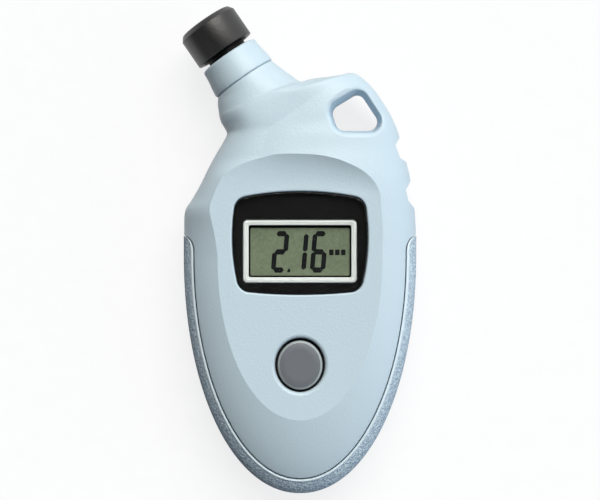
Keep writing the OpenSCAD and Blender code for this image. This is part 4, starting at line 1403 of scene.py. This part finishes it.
@dataclass(frozen=True)
class Shells:
    """The two moulded halves of the housing."""

    form: BodyForm = BodyForm()
    band: GripBand = GripBand()
    lens: LensForm = LensForm()
    levels: Levels = Levels()
    hole_x: float = 12.0
    hole_y: float = 29.0
    hole_corners: Sequence[Triple] = ((0.3, 2.5, 1.7), (-3, 0.2, 1.95), (-2.4, -1.4, 2), (2.7, -1.5, 1.9))
    hole_flare: float = 0.72
    hole_lip: float = 1.1
    hole_past: float = 0.5
    hole_over: float = 0.03
    hole_steps: int = 12
    hole_shade_rows: int = 4
    notches: Sequence[Sequence[Triple]] = (
        ((20.9, 22.3, 0.5), (21.75, 20, 0.5), (24.8, 18.4, 0.5), (23.25, 26.4, 0.5)),
        ((23.1, 12.7, 0.5), (23.6, 10.7, 0.5), (25.9, 8.1, 0.5), (25.4, 16.7, 0.5)),
    )
    notch_low: float = -5.0
    notch_steps: int = 14
    shell_spots: Table = ((-18.2, 7.5), (18.2, 7.5), (-7.5, -36.7), (7.5, -36.7))
    board_spots: Table = ((-12.4, 14.4), (12.4, 14.4), (-11, -29), (11, -29))
    post_radius: float = 2.8
    board_post_radius: float = 2.1
    post_draft: float = 0.15
    post_low: float = 1.0
    post_lap: float = 1.0
    post_facets: int = 32
    shell_pilot: Triple = (1.15, 9, 14.3)
    board_pilot: Triple = (0.95, 7, 12.7)
    screw_way: Triple = (1.2, 1, 14)
    seat_facets: int = 48
    screw_seat: Table = ((0, -2), (2.5, -2), (2.5, -0.05), (2.2, 0.3), (2.2, 2.7), (0, 2.7))
    neck_facets: int = 64
    neck_ways: Sequence[Triple] = ((4.95, -9.05, 30), (5.7, -9.05, -7.45), (3.1, -23.3, -8.5))
    spigot_radius: float = 5.6
    spigot_length: float = 4.4
    spigot_root: float = -1.0
    view: Triple = (24.6, 13.9, 1.2)
    view_past: float = 1.0
    display_y: float = -0.25
    ledge_width: float = 1.4
    ledge_lap: float = 0.5
    button: Triple = (10.5, 11.4, -24.3)
    button_lip: float = 0.9
    lens_lip: float = 0.4
    cover_y: float = -13.0
    cover_radius: float = 12.55
    cover_hole: float = 11.0
    cover_lip: Table = ((0.3, -2), (0.3, -0.03), (0.09, 0.09), (0, 0.3), (0, 1))
    cover_through: float = 4.0
    entry: Table = ((8, 0.5), (12.4, 0.5), (12.4, 2.5), (8, 2.5))
    entry_facets: int = 16
    entry_start: float = -57.0
    entry_turn: float = 34.0
    entries: int = 3
    parting_chamfer: float = 0.16
    chamfer_low: float = 4.0
    chamfer_angle: float = 1.0
    hollow_low: float = 6.0
    hollow_high: float = 21.5
    hollow_past: float = 0.05
    hollow_side: float = 4.2
    far: float = 40.0
    near: float = 30.0
    crease: float = 9.0

    def hollow(self, ribs: Sequence[Rib], half: Half) -> Blank:
        """Makes the hollow of one half.

        Args:
            ribs: The ribs of the body.
            half: The half of the housing.

        Returns:
            The cutter.
        """
        form, band = self.form, self.band
        inside = []
        for rib in ribs:
            if form.tip_y + self.hollow_low < rib.left.y < form.waist_y + self.hollow_high:
                near = (form.waist_y + 2 * band.rise - rib.left.y) / band.rise
                side = form.wall + self.hollow_side * max(0.0, min(1.0, near))
                inside.append(rib.inner(side, form.wall))
        drop = form.face_wall if half is Half.FRONT else form.wall
        return form.half_body(inside, half, drop, self.hollow_past)

    def round_posts(self, spots: Table, radius: float, low: float, high: float, draft: float = 0.0) -> Blank:
        """Makes upright posts or drill cutters.

        Args:
            spots: Their places.
            radius: Their radius at the lower end.
            low: Height of the lower end.
            high: Height of the upper end.
            draft: Growth of the radius towards the upper end.

        Returns:
            All of them in one blank.
        """
        posts = Blank()
        for spot in spots:
            post = Blank().revolve([(0, low), (radius, low), (radius + draft, high), (0, high)],
                                   self.post_facets)
            posts.add(post.shift(*spot))
        return posts

    def outer(self, ribs: Sequence[Rib], half: Half) -> Blank:
        """Makes the solid outer form of one half, chamfered along the parting line and at the neck's end.

        Args:
            ribs: The ribs of the body.
            half: The half of the housing.

        Returns:
            The blank.
        """
        form = self.form

        def on_edge(edge: bmesh.types.BMEdge) -> bool:
            """Tells whether an edge gets the chamfer.

            Args:
                edge: The edge.

            Returns:
                True for sharp edges on the parting line above the grip band and at the neck's end.
            """
            spots = [v.co for v in edge.verts]
            parting = all(abs(p.z - form.parting_z) < TINY and p.y > self.chamfer_low for p in spots)
            neck_end = all(abs(form.neck.reach(p)[0]) < TINY for p in spots)
            if not (parting or neck_end) or len(edge.link_faces) != 2:
                return False
            return edge.calc_face_angle() > self.chamfer_angle

        body = form.half_body(ribs, half, None if half is Half.FRONT else 0.0)
        body.bevel(on_edge, self.parting_chamfer)
        return body.combine(form.face_cutter(), Cut.AWAY) if half is Half.FRONT else body

    def lanyard_cutter(self, skin: BVHTree, half: Half) -> Blank:
        """Makes the cutter of the lanyard hole, whose lip follows the skin of one half.

        Args:
            skin: The skin.
            half: The half of the housing.

        Returns:
            The cutter, with another material number on its walls, which takes the hole's painted shade.
        """
        circles = [(x + self.hole_x, y + self.hole_y, r) for x, y, r in self.hole_corners]
        z, up, last = self.form.parting_z, half.value, self.hole_steps

        def skin_z(spot: Vector) -> float:
            """Returns the height of the skin over a plan point."""
            return skin.ray_cast(Vector((spot.x, spot.y, z + up * self.far)), Vector((0, 0, -up)))[0].z

        rings = [level(pebble(circles), z - up * self.hole_past), level(pebble(circles), z)]
        for step in range(last + 1):
            turn = math.radians(90 * step / last)
            plan = pebble(circles, self.hole_flare + self.hole_lip * (1 - math.cos(turn)))
            drop = self.hole_lip * (1 - math.sin(turn)) - (self.hole_over if step == last else 0)
            rings.append([Vector((p.x, p.y, skin_z(p) - up * drop)) for p in plan])
        rings.append([Vector((p.x, p.y, z + up * self.near)) for p in rings[-1]])
        # The wall rows get the second finish: the hole's painted shade.
        return Blank().skin(rings, tint=lambda row, column: int(row < self.hole_shade_rows))

    def spigot(self, half: Half) -> Blank:
        """Returns one half of the spigot that carries the collar."""
        r, low, high = self.spigot_radius, self.spigot_root, self.spigot_length
        return self.form.half_turned([(0, low), (r, low), (r, high), (0, high)], half, self.neck_facets)

    def shared_cuts(self, skin: BVHTree, half: Half) -> list[Blank]:
        """Makes the cutters that both halves share.

        Args:
            skin: The skin of the half.
            half: The half of the housing.

        Returns:
            The cutters of the band's groove, the lanyard hole, the notches and the ways through the neck.
        """
        notches = Blank()
        for circles in self.notches:
            notches.add(Blank().prism(pebble(circles, 0, self.notch_steps), self.notch_low, self.far))
        ways = []
        for r, low, high in self.neck_ways:
            way = Blank().revolve([(0, low), (r, low), (r, high), (0, high)], self.neck_facets)
            ways.append(way.move(self.form.neck.lay()))
        return [*self.band.cutters(), self.lanyard_cutter(skin, half), notches, *ways]

    def finish(self, name: str, shell: Blank, tools: Sequence[Blank], node: str) -> Piece:
        """Makes the last cuts in one half and dresses it.

        Args:
            name: The piece's name.
            shell: The half.
            tools: The cutters.
            node: The solid that it stands for.

        Returns:
            Its piece.
        """
        for tool in tools:
            shell.combine(tool, Cut.AWAY)
        # The second finish paints shade on the lanyard hole's walls.
        return make_piece(name, shell, [SHELL, SHELL_HOLE_SHADE], Body.HOUSING, [node], self.crease)

    def front(self, ribs: Sequence[Rib]) -> Piece:
        """Builds the front half.

        Args:
            ribs: The ribs of the body.

        Returns:
            Its piece.
        """
        form, z = self.form, self.levels
        outer = self.outer(ribs, Half.FRONT)
        shell = outer.copy().combine(self.hollow(ribs, Half.FRONT), Cut.AWAY)
        ledge = Blank().prism(self.lens.outline(self.ledge_width), z.ledge, z.ceiling + self.ledge_lap)
        low, far, draft = form.parting_z, self.far, self.post_draft
        posts = self.round_posts(self.shell_spots, self.post_radius, low, far, draft)
        posts.add(self.round_posts(self.board_spots, self.board_post_radius, low, far, draft))
        posts.combine(outer, Cut.WITHIN)
        feet = self.round_posts(self.board_spots, self.board_post_radius, z.board_top, low + self.post_lap)
        for more in (ledge, posts, feet, self.spigot(Half.FRONT)):
            shell.combine(more, Cut.WITH)
        width, length, y = self.button
        button = Opening(lambda g: oval(width + 2 * g, length + 2 * g, y), low, self.button_lip)
        pilots = self.round_posts(self.shell_spots, *self.shell_pilot)
        return self.finish("front_shell_moulded", shell, [
            *self.shared_cuts(outer.surface(), Half.FRONT),
            Opening(self.lens.outline, z.pocket, self.lens_lip).cutter(form.face_z),
            Blank().prism(rounded_box(*self.view, self.display_y), z.ledge - self.view_past, self.near),
            button.cutter(form.face_z),
            pilots.add(self.round_posts(self.board_spots, *self.board_pilot)),
        ], "front_shell")

    def rear(self, ribs: Sequence[Rib]) -> Piece:
        """Builds the rear half.

        Args:
            ribs: The ribs of the body.

        Returns:
            Its piece.
        """
        outer = self.outer(ribs, Half.REAR)
        shell = outer.copy().combine(self.hollow(ribs, Half.REAR), Cut.AWAY)
        posts = self.round_posts(self.shell_spots, self.post_radius, self.post_low, self.form.parting_z,
                                 self.post_draft)
        for more in (posts, self.spigot(Half.REAR)):
            shell.combine(more, Cut.WITH)
        heads = Blank()
        for spot in self.shell_spots:
            heads.add(Blank().revolve(self.screw_seat, self.seat_facets).shift(*spot))
        lip = [(self.cover_radius + out, z) for out, z in self.cover_lip]
        hole, through = self.cover_hole, self.cover_through
        seat = [(0, lip[0][1]), *lip, (hole, lip[-1][1]), (hole, through), (0, through)]
        entries = Blank()
        for i in range(self.entries):
            start = i * 360 / self.entries + self.entry_start
            entries.add(Blank().revolve(self.entry, self.entry_facets, start, self.entry_turn))
        return self.finish("rear_shell_moulded", shell, [
            *self.shared_cuts(outer.surface(), Half.REAR),
            heads,
            self.round_posts(self.shell_spots, *self.screw_way),
            Blank().revolve(seat).shift(0, self.cover_y),
            entries.shift(0, self.cover_y),
        ], "rear_shell")

    def build(self) -> list[Piece]:
        """Builds and dresses both halves and returns their pieces."""
        ribs = self.form.ribs()
        return [self.front(ribs), self.rear(ribs)]


# Pieces


@dataclass(frozen=True)
class ValveHead:
    """The pale collar on the neck and the turning head with its black cap; profiles give radius and place."""

    neck: NeckAxis = NeckAxis()
    collar_wall: Table = ((4.65, 5.6), (5.75, 5.6), (5.75, 0.1), (6.85, 0.08), (7.1, 0.22), (7.22, 0.42),
                          (7.2, 1.0), (7.13, 1.6), (6.99, 2.5), (6.82, 3.4), (6.68, 4.3))
    collar_round: Triple = (6.04, 5.64, 0.56)
    collar_steps: int = 9
    collar_mouth: Table = ((4.95, 6.2), (4.72, 6.1), (4.65, 5.95))
    stem: Table = ((0.9, -6.5), (3.1, -6.5), (3.25, -6.3), (3.25, -4.8), (2.35, -4.8), (2.35, -3.63),
                   (3.25, -3.63), (3.25, 0), (2.35, 0), (2.35, 1.17), (3.25, 1.17), (3.25, 4.75), (5.4, 4.75),
                   (5.4, 5.55), (4.5, 5.55), (4.5, 7.35), (5.3, 7.35), (5.3, 9.55), (1.6, 9.55), (1.6, 3),
                   (0.9, 3))
    cap_facets: int = 128
    cap_radius: float = 6.65
    cap_low: float = 7.45
    cap_top: float = 15.15
    cap_bore: float = 5.35
    cap_seat: float = 13.65
    cap_foot: Table = ((0.22, 0), (0.06, 0.06), (0, 0.22))
    cap_chamfer: Table = ((0, 1.2), (0.66, 0.3), (0.8, 0.17), (1.05, 0.08), (1.6, 0.02))
    mouth: float = 4.25
    mouth_lip: Table = ((0.45, 0), (0.15, 0.06), (0, 0.25))
    gasket: Table = ((4.5, 9.55), (5.3, 9.55), (5.3, 13.6), (4.3, 13.6), (4.06, 13.4), (4.0, 13.1),
                     (4.0, 11.7), (4.12, 11.6), (4.5, 11.6))

    def turned(self, name: str, profile: Table, finish: Finish, body: Body, node: str,
               steps: int = FACETS) -> Piece:
        """Turns a profile round the neck's axis.

        Args:
            name: The piece's name.
            profile: Radius and place along the axis of its points.
            finish: Its finish.
            body: The body that carries it.
            node: The solid that it stands for.
            steps: Steps of the turn.

        Returns:
            The piece.
        """
        blank = Blank().revolve(profile, steps).move(self.neck.lay())
        return make_piece(name, blank, [finish], body, [node])

    def collar(self) -> Table:
        """Returns the collar's profile."""
        top = [tuple(p) for p in arc(*self.collar_round, 0, 90, self.collar_steps)]
        return [*self.collar_wall, *top, *self.collar_mouth]

    def cap(self) -> Table:
        """Makes the cap's profile, with a broad chamfer round its top.

        Returns:
            The profile.
        """
        r, low, top, bore, seat = self.cap_radius, self.cap_low, self.cap_top, self.cap_bore, self.cap_seat
        foot = [(r - inset, low + rise) for inset, rise in self.cap_foot]
        chamfer = [(r - inset, top - drop) for inset, drop in self.cap_chamfer]
        lip = [(self.mouth + out, top - drop) for out, drop in self.mouth_lip]
        return [(bore, low), *foot, *chamfer, *lip, (self.mouth, seat), (bore, seat)]

    def build(self) -> list[Piece]:
        """Builds and dresses the pieces.

        Returns:
            The pieces.
        """
        fixed, turning = Body.HOUSING, Body.VALVE_HEAD
        return [
            self.turned("neck_collar_ring", self.collar(), SHELL, fixed, "neck_collar"),
            self.turned("head_stem_turned", self.stem, HEAD_BLACK_AND_SHADE, turning, "head_stem"),
            self.turned("valve_cap_black", self.cap(), CAP_BLACK, turning, "valve_cap",
                        self.cap_facets),
            self.turned("valve_gasket_rubber", self.gasket, GASKET, turning, "valve_gasket"),
        ]


@dataclass(frozen=True)
class Display:
    """The window, its black print, the grey frame and the figures on the display glass."""

    lens: LensForm = LensForm()
    levels: Levels = Levels()
    y: float = -0.25
    view: tuple[float, float] = (21.8, 11.1)
    bar: float = 1.1
    bar_outside: Table = ((0, 0.14), (0.05, 0.04), (0.15, 0))
    bar_inside: Table = ((0.52, 0), (0.46, 0.05), (0.4, 0.09), (0.14, 0.09), (0.04, 0.13), (0, 0.24))
    corner: float = 0.9
    view_corner: float = 0.4
    glass: tuple[float, float] = (25.6, 14.8)
    glass_corner: float = 0.2
    glass_low: float = 12.6
    glass_step: float = 15.0
    glass_edge: Table = ((0, 0.08), (-0.06, 0), (-0.12, 0))
    # Border round the display's lit area, painted black as the frame's shadow, wider at the top.
    painted_shadow_side: float = 0.3
    painted_shadow_top: float = 0.55
    frame_wall: float = 1.05
    frame_corner: float = 0.3
    plate: float = 1.0
    lens_low: float = 17.6
    lens_top: float = 19.3
    lens_foot: Table = ((0.4, 0), (0.12, 0), (0, 0.12))
    lens_edge: Table = ((0, 0.22), (0.06, 0.06), (0.22, 0), (0.5, 0))
    lay: float = 0.15
    print_gap: float = 0.1
    print_cut: tuple[float, float] = (10.0, 20.0)
    figures: str = "2.16"
    first_x: float = -4.22
    pitch: float = 4.13
    middle_y: float = -0.4
    half_height: float = 3.86
    half_width: float = 1.15
    slant: float = 0.085
    level_stroke: float = 1.14
    upright_stroke: float = 1.0
    stroke_gap: float = 0.05
    stroke_point: float = 0.36
    dot: Sequence[Triple] = ((0.12, 0.2, 0.18), (-0.14, -0.22, 0.2), (0.14, -0.22, 0.2))
    dot_steps: int = 6
    dot_x: float = 1.82
    dot_y: float = -4.3
    mark: Triple = (0.95, 1.2, 0.15)
    mark_x: float = 6.65
    mark_y: float = -0.5
    mark_pitch: float = 1.27
    marks: int = 3
    ink: float = 0.02

    def window(self) -> Piece:
        """Builds the clear window, its softened edges painted black as painted shade that hides their glint.

        Returns:
            Its piece.
        """
        steps = [(inset, self.lens_low + rise) for inset, rise in self.lens_foot]
        steps += [(inset, self.lens_top - drop) for inset, drop in self.lens_edge]
        rings = [level(self.lens.outline(-self.lay - inset), z) for inset, z in steps]
        last = len(steps) - 2
        # The rim rows take the black finish: painted shade in place of the glass edge's glint.
        blank = Blank().skin(rings, tint=lambda row, column: int(0 < row < last))
        return make_piece("window_clear", blank, [LENS, HEAD_BLACK_AND_SHADE], Body.HOUSING,
                          ["display_window"])

    def mask(self) -> Piece:
        """Builds the printed border under the window.

        Returns:
            Its piece.
        """
        border = Blank().prism(self.lens.outline(-self.lay), self.levels.pocket, self.lens_low - self.ink)
        opening = Blank().prism(self.frame_outline(self.bar + self.print_gap), *self.print_cut)
        border.combine(opening, Cut.AWAY)
        return make_piece("window_print", border, [MASK_PRINT_AND_SHADOW], Body.HOUSING, ["window_mask"])

    def frame_outline(self, grow: float) -> Plan:
        """Draws the outline of the frame.

        Args:
            grow: Distance out from its opening.

        Returns:
            The outline.
        """
        width, height = self.view
        radius = self.view_corner + (self.corner - self.view_corner) * max(0.0, grow) / self.bar
        return rounded_box(width + 2 * grow, height + 2 * grow, radius, self.y)

    def bezel(self) -> Piece:
        """Builds the frame with its stepped bar and the skirt round the glass.

        Returns:
            Its piece.
        """
        high, top, low = self.levels.plate_top, self.levels.frame_top, self.levels.board_top
        under, wall = high - self.plate, self.frame_wall
        bar = [(self.bar, high), *[(self.bar - inset, top - drop) for inset, drop in self.bar_outside],
               *[(grow, top - drop) for grow, drop in self.bar_inside], (0, under)]
        rings = [level(self.frame_outline(grow), z) for grow, z in bar]
        width, height = [size + 2 * self.lay for size in self.glass]
        for grow, z in ((0, under), (0, low), (wall, low), (wall, high)):
            radius = self.glass_corner + self.frame_corner * grow
            rings.append(level(rounded_box(width + 2 * grow, height + 2 * grow, radius, self.y), z))
        return make_piece("display_bezel", Blank().skin(rings, closed=True), [FRAME_GREY], Body.HOUSING,
                          ["display_frame"])

    def panel(self) -> Piece:
        """Builds the display glass with a painted shadow of the frame round what it shows, widest at the top.

        Returns:
            Its piece.
        """
        top, side, over = self.levels.display, self.painted_shadow_side, self.painted_shadow_top
        width, height = self.view[0] - 2 * side, self.view[1] - side - over
        y = self.y + (side - over) / 2
        plate = rounded_box(*self.glass, self.glass_corner, self.y)
        steps = [(0, self.glass_step), *[(grow, top - drop) for grow, drop in self.glass_edge]]
        rings = [level(plate, self.glass_low), level(plate, self.glass_step)]
        for grow, z in steps:
            plan = rounded_box(width + 2 * grow, height + 2 * grow, self.view_corner + grow, y)
            rings.append(level(plan, z))
        # Rows round the lit area take the black finish as painted shadow.
        blank = Blank().skin(rings, tint=lambda row, column: int(0 < row < len(steps)))
        return make_piece("display_glass_block", blank, [LCD, MASK_PRINT_AND_SHADOW], Body.HOUSING, ["lcd_panel"])

    def stroke(self, figure_x: float, ends: Table, width: float) -> Plan:
        """Draws one segment of a figure.

        Args:
            figure_x: Middle of the figure.
            ends: Both ends, as shares of the half width and half height.
            width: Width of the segment.

        Returns:
            The segment's outline with pointed ends, leaning as the figures do.
        """
        one, two = [Vector((x * self.half_width, y * self.half_height)) for x, y in ends]
        way = (two - one).normalized()
        one, two = one + self.stroke_gap * way, two - self.stroke_gap * way
        off = Vector((-way.y, way.x)) * width / 2
        cut = way * width * self.stroke_point
        plan = [one, one + cut - off, two - cut - off, two, two - cut + off, one + cut + off]
        return [Vector((figure_x + p.x + self.slant * p.y, self.middle_y + p.y)) for p in plan]

    def plans(self) -> list[Plan]:
        """Draws all the dark figures.

        Returns:
            The outlines of their strokes, of the point and of the marks beside them.
        """
        bars = {
            "a": ((-1, 1), (1, 1)), "b": ((1, 1), (1, 0)), "c": ((1, 0), (1, -1)), "d": ((-1, -1), (1, -1)),
            "e": ((-1, 0), (-1, -1)), "f": ((-1, 1), (-1, 0)), "g": ((-1, 0), (1, 0)),
        }
        lit = {"2": "abged", "1": "bc", "6": "afgedc"}
        plans = []
        x = self.first_x
        for figure in self.figures:
            if figure == ".":
                place = Vector((x - self.pitch + self.dot_x, self.dot_y))
                plans.append([p + place for p in pebble(self.dot, 0, self.dot_steps)])
                continue
            for key in lit[figure]:
                width = self.level_stroke if key in "adg" else self.upright_stroke
                plans.append(self.stroke(x, bars[key], width))
            x += self.pitch
        for i in range(self.marks):
            place = Vector((self.mark_x + self.mark_pitch * i, self.mark_y))
            plans.append([p + place for p in rounded_box(*self.mark)])
        return plans

    def segments(self) -> Piece:
        """Builds the dark figures on the glass.

        Returns:
            Their piece.
        """
        floor = self.levels.display
        blank = Blank()
        for plan in self.plans():
            blank.add(Blank().prism(plan, floor, floor + self.ink))
        return make_piece("display_figures", blank, [SEGMENT], Body.HOUSING)

    def build(self) -> list[Piece]:
        """Builds and dresses the pieces and returns them."""
        return [self.bezel(), self.panel(), self.segments(), self.mask(), self.window()]


@dataclass(frozen=True)
class PushButton:
    """The oval button with its flange and plunger, and the rubber dome that springs it back."""

    joint: str = "button_press"
    travel: float = 0.8
    levels: Levels = Levels()
    dome_height: float = 4.2
    dome_facets: int = 64
    dome_wall: Table = ((3.6, 0), (5.4, 0), (5.5, 0.1), (5.5, 0.45), (5.35, 0.6), (4.3, 0.7), (3, 3.2),
                        (2.9, 3.9), (2.7, 4.2), (0, 4.2), (0, 3), (2, 3), (3.4, 0.7))
    width: float = 9.5
    length: float = 10.4
    y: float = -24.3
    top: float = 19.7
    flange: float = 1.3
    flange_low: float = 15.9
    flange_top: float = 17.05
    plunger: float = 2.2
    plunger_low: float = 12.85
    edge: Table = ((0, 0.8), (0, 0.46), (-0.05, 0.34), (-0.34, 0.05), (-0.46, 0), (-2, 0.02), (-3.6, 0.04))
    # Finish of each row: 1 paints the sides and flange top black as the gap's shade, 2 paints the rounded
    # edge paler as a highlight.
    tints: Sequence[int] = (0, 0, 0, 1, 1, 1, 0, 2, 2, 0, 0)

    def dome(self) -> Piece:
        """Builds the dome with a mesh of its own; its flattening under the plunger is not modelled.

        Returns:
            Its piece.
        """
        low = self.levels.board_top
        blank = Blank().revolve(self.dome_wall, self.dome_facets).shift(0, self.y, low)
        piece = make_piece("button_dome_soft", blank, [DOME], Body.HOUSING, ["button_dome"])
        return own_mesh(piece)

    def cap(self) -> Piece:
        """Builds the button, its sides and flange top painted black as the shade of the gap round it and its
        rounded edge painted paler as a highlight.

        Returns:
            Its piece.
        """
        plunger = oval(2 * self.plunger, 2 * self.plunger, self.y)
        rings = [level(plunger, self.plunger_low), level(plunger, self.flange_low)]
        steps = [(self.flange, self.flange_low), (self.flange, self.flange_top), (0, self.flange_top)]
        for grow, z in steps + [(grow, self.top - drop) for grow, drop in self.edge]:
            rings.append(level(oval(self.width + 2 * grow, self.length + 2 * grow, self.y), z))
        blank = Blank().skin(rings, tint=lambda row, column: self.tints[row])
        return make_piece("push_button_cap", blank, [BUTTON_GREY, SEAL_AND_GAP_SHADE, BUTTON_EDGE_HIGHLIGHT], Body.BUTTON,
                          ["push_button"])

    def build(self) -> list[Piece]:
        """Builds and dresses both pieces and returns them."""
        return [self.cap(), self.dome()]


@dataclass(frozen=True)
class BatteryDoor:
    """The twist-off cover in the back with its coin slot."""

    y: float = -13.0
    radius: float = 12.4
    soft: float = 0.25
    edge_turns: range = range(0, 91, 15)
    rim: float = 0.95
    plug: float = 10.8
    height: float = 2.75
    groove: float = 10.1
    groove_low: float = 1.05
    groove_top: float = 1.95
    lugs: int = 3
    lug_facets: int = 12
    lug_in: float = 2.0
    lug_out: float = 0.2
    lug_low: float = 2.15
    lug_half: float = 14.0
    slot: Triple = (16.0, 1.8, 0.7)
    slot_lip: Table = ((0, 0.7), (0, 0.2), (0.05, 0.08), (0.2, -0.02), (0.2, -1))

    def build(self) -> Piece:
        """Builds and dresses the cover.

        Returns:
            Its piece.
        """
        r, plug, top = self.radius, self.plug, self.height
        turns = [math.radians(q) for q in self.edge_turns]
        edge = [(r + self.soft * (math.sin(t) - 1), self.soft * (1 - math.cos(t))) for t in turns]
        low, high = self.groove_low, self.groove_top
        foot = [(0, 0), *edge, (r, self.rim), (plug, self.rim)]
        groove = [(plug, low), (self.groove, low), (self.groove, high), (plug, high)]
        cover = Blank().revolve([*foot, *groove, (plug, top), (0, top)])
        inner, outer = r - self.lug_in, r - self.lug_out
        lug = [(inner, self.lug_low), (outer, self.lug_low), (outer, top), (inner, top)]
        lugs = Blank()
        for i in range(self.lugs):
            start = i * 360 / self.lugs - self.lug_half
            lugs.add(Blank().revolve(lug, self.lug_facets, start, 2 * self.lug_half))
        cover.combine(lugs, Cut.WITH)
        length, width, corner = self.slot
        rings = [level(rounded_box(length + 2 * g, width + 2 * g, corner + g), z) for g, z in self.slot_lip]
        cover.combine(Blank().skin(rings), Cut.AWAY)
        return make_piece("battery_cover_moulded", cover.shift(0, self.y), [SHELL_BACK], Body.BATTERY_DOOR,
                          ["battery_cover"])


@dataclass(frozen=True)
class Innards:
    """The solids that keep their own shape and get a finish."""

    finishes: dict[str, Finish] = field(default_factory=lambda: {
        "stem_o_rings": SEAL_AND_GAP_SHADE, "cover_o_ring": SEAL_AND_GAP_SHADE, "depressor_pin": BRASS, "neck_sleeve": BRASS,
        "thrust_washer": SLIP, "air_hose": HOSE, "hose_clips": STEEL, "pressure_sensor": CHIP,
        "lcd_backing": LCD_BACK, "zebra_strips": ZEBRA, "circuit_board": BOARD, "controller_chip": CHIP,
        "smd_parts": SMD, "contact_pill": SEAL_AND_GAP_SHADE, "coin_cell": CELL, "battery_holder": HEAD_BLACK_AND_SHADE,
        "battery_contact_positive": CONTACT, "battery_contact_negative": CONTACT, "shell_screws": SCREW,
        "board_screws": SCREW,
    })

    def dress(self) -> None:
        """Gives each solid its finish."""
        for node, finish in self.finishes.items():
            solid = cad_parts[node]
            solid.data.materials.clear()
            solid.data.materials.append(finish.material())
            log.info("%s: %s", node, finish.name)


# Studio


@dataclass(frozen=True)
class Lamp:
    """A broad lamp: elevation, turn from the valve head's side to the right, and spread are in degrees."""

    name: str
    elevation: float
    turn: float
    strength: float
    colour: Triple
    spread: float = 50.0
    mirrored: bool = True

    def build(self) -> None:
        """Hangs the lamp."""
        data = bpy.data.lights.new(self.name, "SUN")
        data.energy = self.strength
        data.color = self.colour
        data.angle = math.radians(self.spread)
        lamp = bpy.data.objects.new(self.name, data)
        lamp.rotation_euler = (math.radians(self.elevation - 90), 0, -math.radians(self.turn))
        lamp.visible_glossy = self.mirrored
        bpy.context.scene.collection.objects.link(lamp)


@dataclass(frozen=True)
class Studio:
    """Camera straight above, broad lamp from the valve head's side, fill from the right, pale floor."""

    camera_height: float = 0.4705
    focal_length: float = 128.3
    sensor: float = 36.0
    clip: float = 0.01
    lamps: Sequence[Lamp] = (Lamp("key", 51.0, 14.0, 3.1, (1.0, 0.975, 0.895)),
                             Lamp("side", 12.0, 100.0, 0.95, (0.84, 0.94, 1.0), mirrored=False))
    fill: Rgba = (0.41, 0.56, 0.77, 1)
    fill_right: float = 0.38
    fill_ahead: float = 0.32
    fill_level: float = 0.5
    fill_least: float = 0.03
    dark: Rgba = (0.05, 0.05, 0.055, 1)
    ceiling: tuple[float, float] = (0.55, 0.9)
    left: tuple[float, float] = (0.1, -0.7)
    left_dim: float = 0.85
    black: Rgba = (0, 0, 0, 1)
    white: Rgba = (1, 1, 1, 1)
    paper: Rgba = (0.97, 0.97, 0.97, 1)
    paper_grain: float = 4.0
    paper_detail: float = 3.0
    bounce: Rgba = (0.2, 0.2, 0.2, 1)
    shadow: float = 0.17
    floor_half: float = 3.0

    def camera(self) -> None:
        """Puts the camera over the gauge."""
        data = bpy.data.cameras.new("camera")
        data.lens = self.focal_length
        data.sensor_width = self.sensor
        data.clip_start = self.clip
        camera = bpy.data.objects.new("camera", data)
        camera.location = (0, 0, self.camera_height)
        bpy.context.scene.collection.objects.link(camera)
        bpy.context.scene.camera = camera

    def ray(self, graph: Graph, kind: str) -> Value:
        """Returns 1 for rays of a kind and 0 for the rest."""
        return graph.node("ShaderNodeLightPath", {}, {}, f"Is {kind} Ray")

    def seen(self, graph: Graph) -> Value:
        """Returns 1 for rays that show the backdrop, straight, mirrored or through glass."""
        return self.ray(graph, "Camera").most(self.ray(graph, "Glossy")).most(self.ray(graph, "Transmission"))

    def world(self) -> None:
        """Adds the fill from the right and a pale surround that mirrors dark from above and the left."""
        world = bpy.data.worlds.new("studio")
        bpy.context.scene.world = world
        graph = Graph(world)
        way = graph.node("ShaderNodeTexCoord", {}, {}, "Generated")
        side, ahead, up = [graph.node("ShaderNodeSeparateXYZ", {}, {0: way}, axis) for axis in "XYZ"]
        right = side * self.fill_right + ahead * self.fill_ahead + self.fill_level
        fill = graph.mix(right * right + self.fill_least, self.black, self.fill)
        dim = graph.ramp(up, *self.ceiling).most(graph.ramp(side, *self.left) * self.left_dim)
        surround = graph.mix(dim * self.ray(graph, "Glossy"), self.white, self.dark)
        colour = graph.mix(self.seen(graph), fill, surround)
        light = graph.node("ShaderNodeBackground", {}, {0: colour, 1: 1.0})
        graph.node("ShaderNodeOutputWorld", {}, {"Surface": light})

    def floor(self) -> None:
        """Adds the pale floor, which keeps the gauge's shadow."""
        graph = Graph(bpy.data.materials.new("floor_pale"))
        white = graph.mix(graph.noise(self.paper_grain, self.paper_detail), self.paper, self.white)
        seen = self.seen(graph)
        lit = graph.node("ShaderNodeBsdfDiffuse", {}, {"Color": graph.mix(seen, self.bounce, white)})
        glow = graph.node("ShaderNodeEmission", {}, {"Color": white, "Strength": 1.0})
        share = seen * (1 - self.shadow)
        material = graph.end(graph.node("ShaderNodeMixShader", {}, {0: share, 1: lit, 2: glow}))
        bm = bmesh.new()
        bmesh.ops.create_grid(bm, x_segments=1, y_segments=1, size=self.floor_half)
        mesh = bpy.data.meshes.new("floor")
        bm.to_mesh(mesh)
        bm.free()
        mesh.materials.append(material)
        floor = bpy.data.objects.new("floor", mesh)
        bpy.context.scene.collection.objects.link(floor)

    def build(self) -> None:
        """Sets up the whole studio."""
        bpy.context.scene.view_settings.view_transform = "Standard"
        self.camera()
        for lamp in self.lamps:
            lamp.build()
        self.world()
        self.floor()


def main() -> None:
    logging.basicConfig(level=logging.INFO, format="%(name)s: %(message)s")
    Studio().build()
    for part in (Shells(), GripBand(), ValveHead(), Display(), PushButton(), BatteryDoor()):
        part.build()
    Innards().dress()
    log.info("boxes written")


if __name__ == "__main__":
    main()
